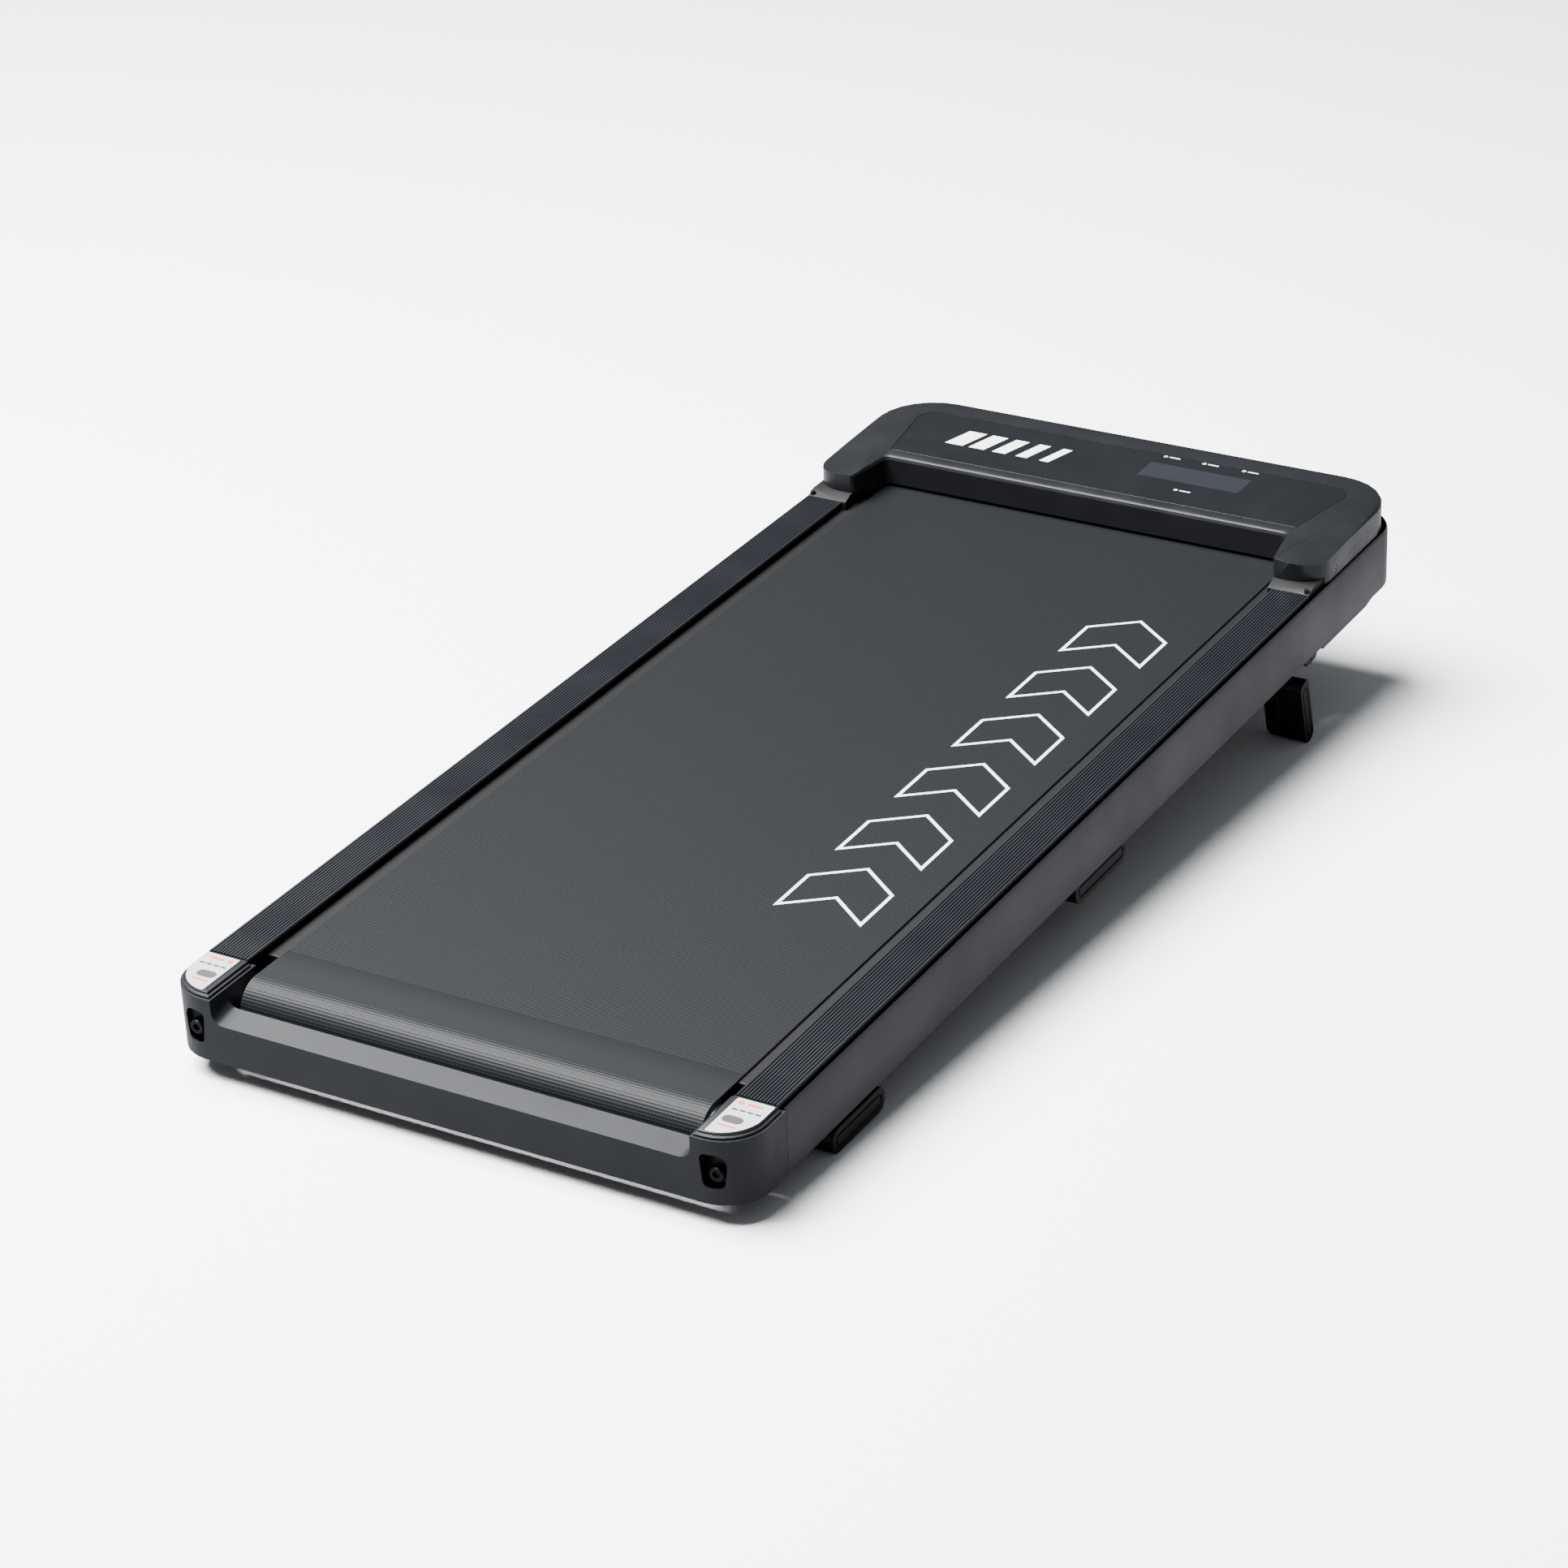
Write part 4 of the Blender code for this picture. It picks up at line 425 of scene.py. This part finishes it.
@dataclass
class Machine:
    """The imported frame, read as the machine's own level axes."""

    record: dict
    rail_half_length: float = 465.0  # middle of the foot rails, where the record's belt mount stands
    belt_drop: float = 6.0
    place: Matrix = field(init=False)

    def __post_init__(self) -> None:
        """Finds the level frame's place from the mount on the walking belt."""
        mount = next(m for m in self.record["mounts"] if m["name"] == "belt_top")
        pitch = atan2(-mount["axis"][1], mount["axis"][2])
        turn = Matrix.Rotation(pitch, 4, "X")
        local = Vector((0, self.rail_half_length, -self.belt_drop)) * MM
        origin = Vector(mount["pos_m"]) - turn.to_3x3() @ local
        self.place = Matrix.Translation(origin) @ turn

    def body_of(self, node: str) -> str:
        """The body that a node belongs to."""
        for body, nodes in self.record["behaviour"]["bodies"].items():
            if node in nodes:
                return body
        raise KeyError(node)

    def slot_of(self, node: str) -> str:
        """The record's material slot of a node."""
        return next(s["material_slot"] for s in self.record["subparts"] if s["node"] == node)

    def point(self, x: float, y: float, z: float) -> Vector:
        """World place, in metres, of a point in the level frame, in millimetres."""
        return self.place @ (Vector((x, y, z)) * MM)


def finish_of(node: str) -> Finish:
    """The finish of a node, found by the longest name that its own starts with."""
    best = max((key for key in NODE_FINISH if node.startswith(key)), key=len)
    return NODE_FINISH[best]


def smooth_edges(mesh: bpy.types.Mesh, degrees: float = 32.0) -> None:
    """Shades a mesh smooth except across edges sharper than the angle."""
    mesh.shade_smooth()
    mesh.set_sharp_from_angle(angle=radians(degrees))


def piece(name: str, body: bmesh.types.BMesh, finish: Finish, place: Matrix) -> bpy.types.Object:
    """Makes a mesh given in level millimetres an object in the world.

    Args:
        name: the piece's name.
        body: its mesh, used up.
        finish: its finish.
        place: the level frame's place.

    Returns:
        The object.
    """
    bmesh.ops.transform(body, matrix=place @ Matrix.Scale(MM, 4), verts=body.verts)
    mesh = bpy.data.meshes.new(name)
    body.to_mesh(mesh)
    body.free()
    mesh.materials.append(finish.material())
    smooth_edges(mesh)
    made = bpy.data.objects.new(name, mesh)
    bpy.context.scene.collection.objects.link(made)
    return made


def plate(
    outline: Sequence[Point2], low: float, high: float, hole: Sequence[Point2] | None = None
) -> bmesh.types.BMesh:
    """A flat plate, or a frame when it has a hole with as many points as its outline.

    Args:
        outline: its plan.
        low: underside.
        high: top.
        hole: plan of the hole.

    Returns:
        The mesh.
    """
    body = bmesh.new()
    loops = [(outline, low), (outline, high)] + ([(hole, high), (hole, low)] if hole else [])
    rings = [[body.verts.new((x, y, z)) for x, y in plan] for plan, z in loops]
    pairs = list(zip(rings, rings[1:]))
    if hole:
        pairs.append((rings[-1], rings[0]))
    else:
        body.faces.new(rings[0])
        body.faces.new(rings[-1])
    for lower, upper in pairs:
        for i in range(len(lower)):
            j = (i + 1) % len(lower)
            body.faces.new((lower[i], lower[j], upper[j], upper[i]))
    bmesh.ops.recalc_face_normals(body, faces=body.faces)
    return body


def shrunk(outline: Sequence[Point2], distance: float) -> list[Point2]:
    """Moves a plan inwards.

    Args:
        outline: the plan, which runs anticlockwise.
        distance: how far each edge moves.

    Returns:
        The smaller plan, with as many points.
    """
    points = [Vector(p) for p in outline]
    moved = []
    for i, here in enumerate(points):
        before = (here - points[i - 1]).normalized()
        after = (points[(i + 1) % len(points)] - here).normalized()
        normal = Vector((-before.y - after.y, before.x + after.x)).normalized()
        share = normal.dot(Vector((-before.y, before.x)))
        moved.append(tuple(here + normal * distance / share))
    return moved


def arc_points(centre: Point2, radius: float, start: float, end: float, steps: int) -> list[Point2]:
    """Points on an arc, both ends included, its angles in radians."""
    angles = [start + (end - start) * i / steps for i in range(steps + 1)]
    return [(centre[0] + radius * cos(a), centre[1] + radius * sin(a)) for a in angles]


def pill(centre: Point2, length: float, width: float, steps: int = 6) -> list[Point2]:
    """Plan of a bar with round ends, long in X, with so many steps round each end."""
    half = (length - width) / 2
    right = arc_points((centre[0] + half, centre[1]), width / 2, -pi / 2, pi / 2, steps)
    return right + arc_points((centre[0] - half, centre[1]), width / 2, pi / 2, 3 * pi / 2, steps)


@dataclass
class EasedNodes:
    """The frame's own pieces with the small radii that moulded, cast and rolled edges have."""

    machine: Machine
    weld: float = 0.01
    flat: float = 0.5  # degrees between faces that count as one
    sharp: float = 40.0  # degrees between faces whose edge is rounded
    segments: int = 3
    widths: dict[str, float] = field(default_factory=lambda: {
        "rear_cover": 1.0, "hood_cover": 0.7, "corner_cap": 0.45, "rail_end_block": 0.8, "side_cover": 0.3,
        "rear_foot": 1.0, "middle_foot": 1.0, "incline_foot": 0.9, "bottom_pan": 0.8, "front_panel": 0.5,
        "axle_bracket": 0.4, "foot_bracket": 0.4, "wheel_fork": 0.4, "rocker_switch": 0.3, "power_inlet": 0.3,
        "switch_housing": 0.3, "label_plate": 0.1, "display_panel": 0.2, "motor_plate": 0.4,
    })

    def eased(self, node: str, width: float) -> bpy.types.Object:
        """Copies a node's mesh, welds it, clears flat triangles and rounds its sharp edges.

        Args:
            node: the node to stand for.
            width: the rounding, in millimetres.

        Returns:
            The piece that replaces the node.
        """
        body = bmesh.new()
        body.from_mesh(frame["nodes"][node].data)
        bmesh.ops.remove_doubles(body, verts=body.verts, dist=self.weld * MM)
        bmesh.ops.dissolve_limit(body, angle_limit=radians(self.flat), verts=body.verts, edges=body.edges)
        mesh = bpy.data.meshes.new(f"{node}_eased")
        body.to_mesh(mesh)
        body.free()
        mesh.materials.append(finish_of(node).material())
        smooth_edges(mesh, self.sharp)
        made = bpy.data.objects.new(f"{node}_eased", mesh)
        bpy.context.scene.collection.objects.link(made)
        edge = made.modifiers.new("edges", "BEVEL")
        edge.width = width * MM
        edge.segments = self.segments
        edge.limit_method = "ANGLE"
        edge.angle_limit = radians(self.sharp)
        edge.harden_normals = True
        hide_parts(node)
        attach(made, self.machine.body_of(node))
        self.machine.slot_of(node)
        return made

    def build(self) -> None:
        """Eases the listed nodes and dresses every other one but the belt where it stands."""
        for node, original in frame["nodes"].items():
            if node == "walking_belt":
                continue
            width = next((w for key, w in self.widths.items() if node.startswith(key)), None)
            if width is not None:
                self.eased(node, width)
                LOG.info("%s eased by %.2f mm", node, width)
                continue
            material = finish_of(node).material()
            for slot in original.material_slots:
                slot.material = material
            LOG.info("%s dressed", node)


@dataclass
class WalkingBelt:
    """The belt loop with its embossed face, its pale cut edges and its print."""

    machine: Machine
    half_width: float = 204.5
    thickness: float = 1.6
    rear_y: float = -8.0
    front_y: float = 995.0
    axis_z: float = -29.9
    inner_radius: float = 22.3
    soft: float = 0.35  # rounding of the belt's edges
    turn_steps: int = 40
    run_steps: int = 24
    last_step: float = 1.0  # texture length of the stretch that closes the loop
    mark_low: float = 98.0
    mark_high: float = 176.0
    mark_start: float = 259.0
    mark_end: float = 848.0
    mark_count: int = 6
    mark_share: float = 0.86  # of the pitch from one mark to the next
    mark_dip: float = 30.0
    stroke: float = 3.0
    print_sink: float = 0.02
    print_lift: float = 0.12

    def path(self) -> list[tuple[float, float, float, float, float]]:
        """Lays out the loop's middle line.

        Returns:
            For each station its place (y, z), its outward way (y, z) and the length so far.
        """
        radius = self.inner_radius + self.thickness / 2
        stations = []
        for centre, start in ((self.rear_y, pi / 2), (self.front_y, 3 * pi / 2)):
            for i in range(self.turn_steps + 1):
                angle = start + pi * i / self.turn_steps
                out_y, out_z = cos(angle), sin(angle)
                stations.append((centre + radius * out_y, self.axis_z + radius * out_z, out_y, out_z))
            other = self.front_y if centre == self.rear_y else self.rear_y
            down = -1 if centre == self.rear_y else 1
            run_z = self.axis_z + radius * down
            for i in range(1, self.run_steps):
                share = i / self.run_steps
                stations.append((centre + (other - centre) * share, run_z, 0.0, float(down)))
        lengths = [0.0]
        for a, b in zip(stations, stations[1:]):
            lengths.append(lengths[-1] + ((a[0] - b[0]) ** 2 + (a[1] - b[1]) ** 2) ** 0.5)
        return [(*station, length) for station, length in zip(stations, lengths)]

    def loop(self) -> bpy.types.Object:
        """Builds the belt, with its width and length laid out as texture coordinates in metres.

        Returns:
            The belt, which replaces the frame's.
        """
        body = bmesh.new()
        layer = body.loops.layers.uv.new("belt_metres")
        half, thick, soft = self.half_width, self.thickness / 2, self.soft
        section = [(-half, -thick), (-half, thick - soft), (-half + soft, thick), (half - soft, thick)]
        section += [(half, thick - soft), (half, -thick)]
        stations = self.path()
        total = stations[-1][4] + self.last_step
        rings = []
        for y, z, out_y, out_z, _ in stations:
            ring = [body.verts.new((x, y + out_y * t, z + out_z * t)) for x, t in section]
            rings.append(ring)
        count = len(rings)
        for i in range(count):
            j = (i + 1) % count
            ends = (stations[i][4], stations[j][4] if j else total)
            for a in range(len(section)):
                b = (a + 1) % len(section)
                face = body.faces.new((rings[i][a], rings[i][b], rings[j][b], rings[j][a]))
                face.material_index = 0 if a in (1, 2, 3) else 1
                corners = ((a, ends[0]), (b, ends[0]), (b, ends[1]), (a, ends[1]))
                for corner, (index, length) in zip(face.loops, corners):
                    corner[layer].uv = (section[index][0] * MM, length * MM)
        bmesh.ops.recalc_face_normals(body, faces=body.faces)
        belt = piece("walking_belt_loop", body, BELT_PVC, self.machine.place)
        belt.data.materials.append(BELT_PLY.material())
        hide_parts("walking_belt")
        return belt

    def chevron(self, start: float, length: float) -> list[Point2]:
        """Draws one chevron that points to the hood.

        Args:
            start: the Y of its tails.
            length: from its tails to its point.

        Returns:
            Its plan, anticlockwise.
        """
        low, high = self.mark_low, self.mark_high
        middle = (low + high) / 2
        arm = start + length - self.mark_dip
        near = [(low, start), (middle, start + self.mark_dip), (high, start)]
        return near + [(high, arm), (middle, start + length), (low, arm)]

    def marks(self) -> list[bpy.types.Object]:
        """Builds the row of outlined chevrons printed beside the middle of the belt.

        Returns:
            The chevrons, from the rear.
        """
        pitch = (self.mark_end - self.mark_start) / self.mark_count
        top = -self.machine.belt_drop
        made = []
        for k in range(self.mark_count):
            outline = self.chevron(self.mark_start + pitch * k, pitch * self.mark_share)
            hole = shrunk(outline, self.stroke)
            body = plate(outline, top - self.print_sink, top + self.print_lift, hole)
            made.append(piece(f"belt_chevron_{k + 1}", body, WHITE_INK, self.machine.place))
        return made

    def build(self) -> None:
        """Builds the belt and its print and fixes both to the chassis."""
        for made in [self.loop(), *self.marks()]:
            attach(made, CHASSIS)
            self.machine.slot_of("walking_belt")
            LOG.info("%s built", made.name)


@dataclass
class HoodPrint:
    """Marks on the hood's panel: a group of slanted bars, a display window and four symbols."""

    machine: Machine
    panel_z: float = 24.9
    lift: float = 0.06
    bars_start: float = -167.0
    bars_end: float = -44.0
    bars_near: float = 1041.0
    bars_far: float = 1074.0
    bar_count: int = 5
    bar_share: float = 0.74  # of the pitch, for the first and widest bar
    bar_narrowing: float = 0.09  # of the pitch, from one bar to the next
    slant: float = 9.0
    window: tuple[float, float, float, float] = (27.0, 128.0, 1051.0, 1082.0)
    symbols: tuple[Point2, ...] = ((41.0, 1098.0), (80.0, 1098.0), (120.0, 1098.0), (81.0, 1034.5))
    ring_left: float = 7.0  # ring's centre to the symbol's
    ring_radii: Point2 = (1.9, 1.2)
    ring_steps: int = 16
    dash_right: float = 2.2  # bar's centre to the symbol's
    dash_size: Point2 = (11.0, 1.7)

    def flat(
        self, name: str, outline: Sequence[Point2], finish: Finish, hole: Sequence[Point2] | None = None
    ) -> None:
        """Lays one printed mark on the panel.

        Args:
            name: the mark's name.
            outline: its plan.
            finish: its ink or film.
            hole: plan of its hole, if it is a ring.
        """
        low, high = self.panel_z, self.panel_z + self.lift
        made = piece(name, plate(outline, low, high, hole), finish, self.machine.place)
        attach(made, CHASSIS)
        self.machine.slot_of("display_panel")

    def build(self) -> None:
        """Builds every mark on the panel."""
        pitch = (self.bars_end - self.bars_start) / self.bar_count
        near, far, lean = self.bars_near, self.bars_far, self.slant
        for k in range(self.bar_count):
            left = self.bars_start + pitch * k
            right = left + pitch * (self.bar_share - self.bar_narrowing * k)
            outline = [(left, near), (right, near), (right + lean, far), (left + lean, far)]
            self.flat(f"panel_bar_{k + 1}", outline, WHITE_INK)
        x0, x1, y0, y1 = self.window
        self.flat("panel_window", [(x0, y0), (x1, y0), (x1, y1), (x0, y1)], WINDOW_FILM)
        for k, (x, y) in enumerate(self.symbols, 1):
            centre = (x - self.ring_left, y)
            outer, inner = (arc_points(centre, r, 0, 2 * pi, self.ring_steps)[:-1] for r in self.ring_radii)
            self.flat(f"symbol_ring_{k}", outer, WHITE_INK, inner)
            self.flat(f"symbol_bar_{k}", pill((x + self.dash_right, y), *self.dash_size), WHITE_INK)
        LOG.info("hood print built")


@dataclass(frozen=True)
class LabelMark:
    """One round-ended mark, its X counted outwards from the centre plane."""

    name: str
    centre: Point2
    length: float
    width: float
    ink: Finish
    steps: int = 6


@dataclass
class CornerLabels:
    """Plain marks on the silver labels over the rear corners."""

    machine: Machine
    sink: float = -0.05
    lift: float = 0.25
    dash_count: int = 4
    dash_pitch: float = 6.5

    def marks(self) -> list[LabelMark]:
        """Lists one label's marks.

        Returns:
            From the rails rearwards, a dot and a bar, a row of dashes, an oval and a stripe.
        """
        dashes = [
            LabelMark(f"label_dash_{k + 1}", (227.0 + self.dash_pitch * k, -18.0), 5.2, 2.0, DARK_INK)
            for k in range(self.dash_count)
        ]
        return [
            LabelMark("label_red_dot", (227.0, -8.5), 5.0, 4.9, RED_INK),
            LabelMark("label_red_bar", (239.0, -8.5), 13.0, 2.6, RED_INK),
            *dashes,
            LabelMark("label_oval", (233.0, -31.0), 17.0, 9.0, DARK_INK, 10),
            LabelMark("label_red_stripe", (233.0, -40.0), 15.0, 1.8, RED_INK),
        ]

    def flat(self, side: Side, mark: LabelMark) -> None:
        """Lays one mark on a label.

        Args:
            side: the label's side.
            mark: the mark.
        """
        outline = pill(mark.centre, mark.length, mark.width, mark.steps)
        plan = [(x * side.value, y) for x, y in outline]
        if side is Side.LEFT:
            plan.reverse()
        body = plate(plan, self.sink, self.sink + self.lift)
        made = piece(f"{mark.name}_{side.word}", body, mark.ink, self.machine.place)
        label = f"label_plate_{side.word}"
        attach(made, CHASSIS)
        self.machine.slot_of(label)

    def build(self) -> None:
        """Builds both labels' marks."""
        for side in Side:
            for mark in self.marks():
                self.flat(side, mark)
        LOG.info("corner labels marked")


@dataclass
class Studio:
    """Bright pale floor, a wide soft light above and the camera.

    The eye and its three ways are given in the machine's level frame, so they follow its pitch.
    """

    machine: Machine
    floor_reach: float = 40.0
    eye: tuple[float, float, float] = (1664.3, -2305.7, 1700.0)
    right: tuple[float, float, float] = (0.86578, 0.49883, -0.03985)
    up: tuple[float, float, float] = (-0.20431, 0.42504, 0.88182)
    back: tuple[float, float, float] = (0.45681, -0.75532, 0.46991)
    lens: float = 101.9
    sensor: float = 36.0
    far: float = 200.0
    room: float = 0.22
    room_colour: str = "#eef2f8"
    box_place: tuple[float, float, float] = (-1.6, -0.9, 4.0)
    box_size: float = 3.2
    box_power: float = 1900.0

    def floor(self) -> None:
        """Builds the pale floor."""
        reach = self.floor_reach
        body = bmesh.new()
        corners = ((-reach, -reach), (reach, -reach), (reach, reach), (-reach, reach))
        body.faces.new([body.verts.new((x, y, 0)) for x, y in corners])
        mesh = bpy.data.meshes.new("studio_floor")
        body.to_mesh(mesh)
        body.free()
        made = bpy.data.objects.new("studio_floor", mesh)
        mesh.materials.append(FLOOR_PAPER.material())
        bpy.context.scene.collection.objects.link(made)

    def soft_box(
        self, name: str, place: Sequence[float], aim: Sequence[float], size: float, power: float
    ) -> None:
        """Hangs one square soft light.

        Args:
            name: the light's name.
            place: its centre, in metres.
            aim: the point it faces.
            size: its side, in metres.
            power: its output, in watts.
        """
        light = bpy.data.lights.new(name, "AREA")
        light.size = size
        light.energy = power
        made = bpy.data.objects.new(name, light)
        made.location = place
        made.rotation_euler = (Vector(aim) - Vector(place)).to_track_quat("-Z", "Y").to_euler()
        bpy.context.scene.collection.objects.link(made)

    def surroundings(self) -> None:
        """Gives the room its even dim light."""
        world = bpy.data.worlds.new("studio_room")
        world.use_nodes = True
        backdrop = world.node_tree.nodes["Background"]
        backdrop.inputs["Color"].default_value = linear(self.room_colour)
        backdrop.inputs["Strength"].default_value = self.room
        bpy.context.scene.world = world

    def camera(self) -> None:
        """Sets the camera from its eye and its ways in the level frame."""
        view = bpy.data.cameras.new("camera")
        view.lens = self.lens
        view.sensor_width = self.sensor
        view.clip_end = self.far
        made = bpy.data.objects.new("camera", view)
        turn = Matrix((self.right, self.up, self.back)).transposed()
        ways = self.machine.place.to_3x3() @ turn
        made.matrix_world = Matrix.Translation(self.machine.point(*self.eye)) @ ways.normalized().to_4x4()
        bpy.context.scene.collection.objects.link(made)
        bpy.context.scene.camera = made

    def build(self) -> None:
        """Builds the whole studio."""
        self.camera()
        self.floor()
        self.surroundings()
        self.soft_box("overhead_box", self.box_place, (0, 0, 0), self.box_size, self.box_power)
        LOG.info("studio built")


def main() -> None:
    """Builds the studio and then the machine, piece by piece."""
    logging.basicConfig(level=logging.INFO, format="%(name)s: %(message)s")
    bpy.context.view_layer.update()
    machine = Machine(frame["record"])
    Studio(machine).build()
    builders: Iterable[EasedNodes | WalkingBelt | HoodPrint | CornerLabels] = (
        EasedNodes(machine), WalkingBelt(machine), HoodPrint(machine), CornerLabels(machine),
    )
    for builder in builders:
        builder.build()


if __name__ == "__main__":
    main()
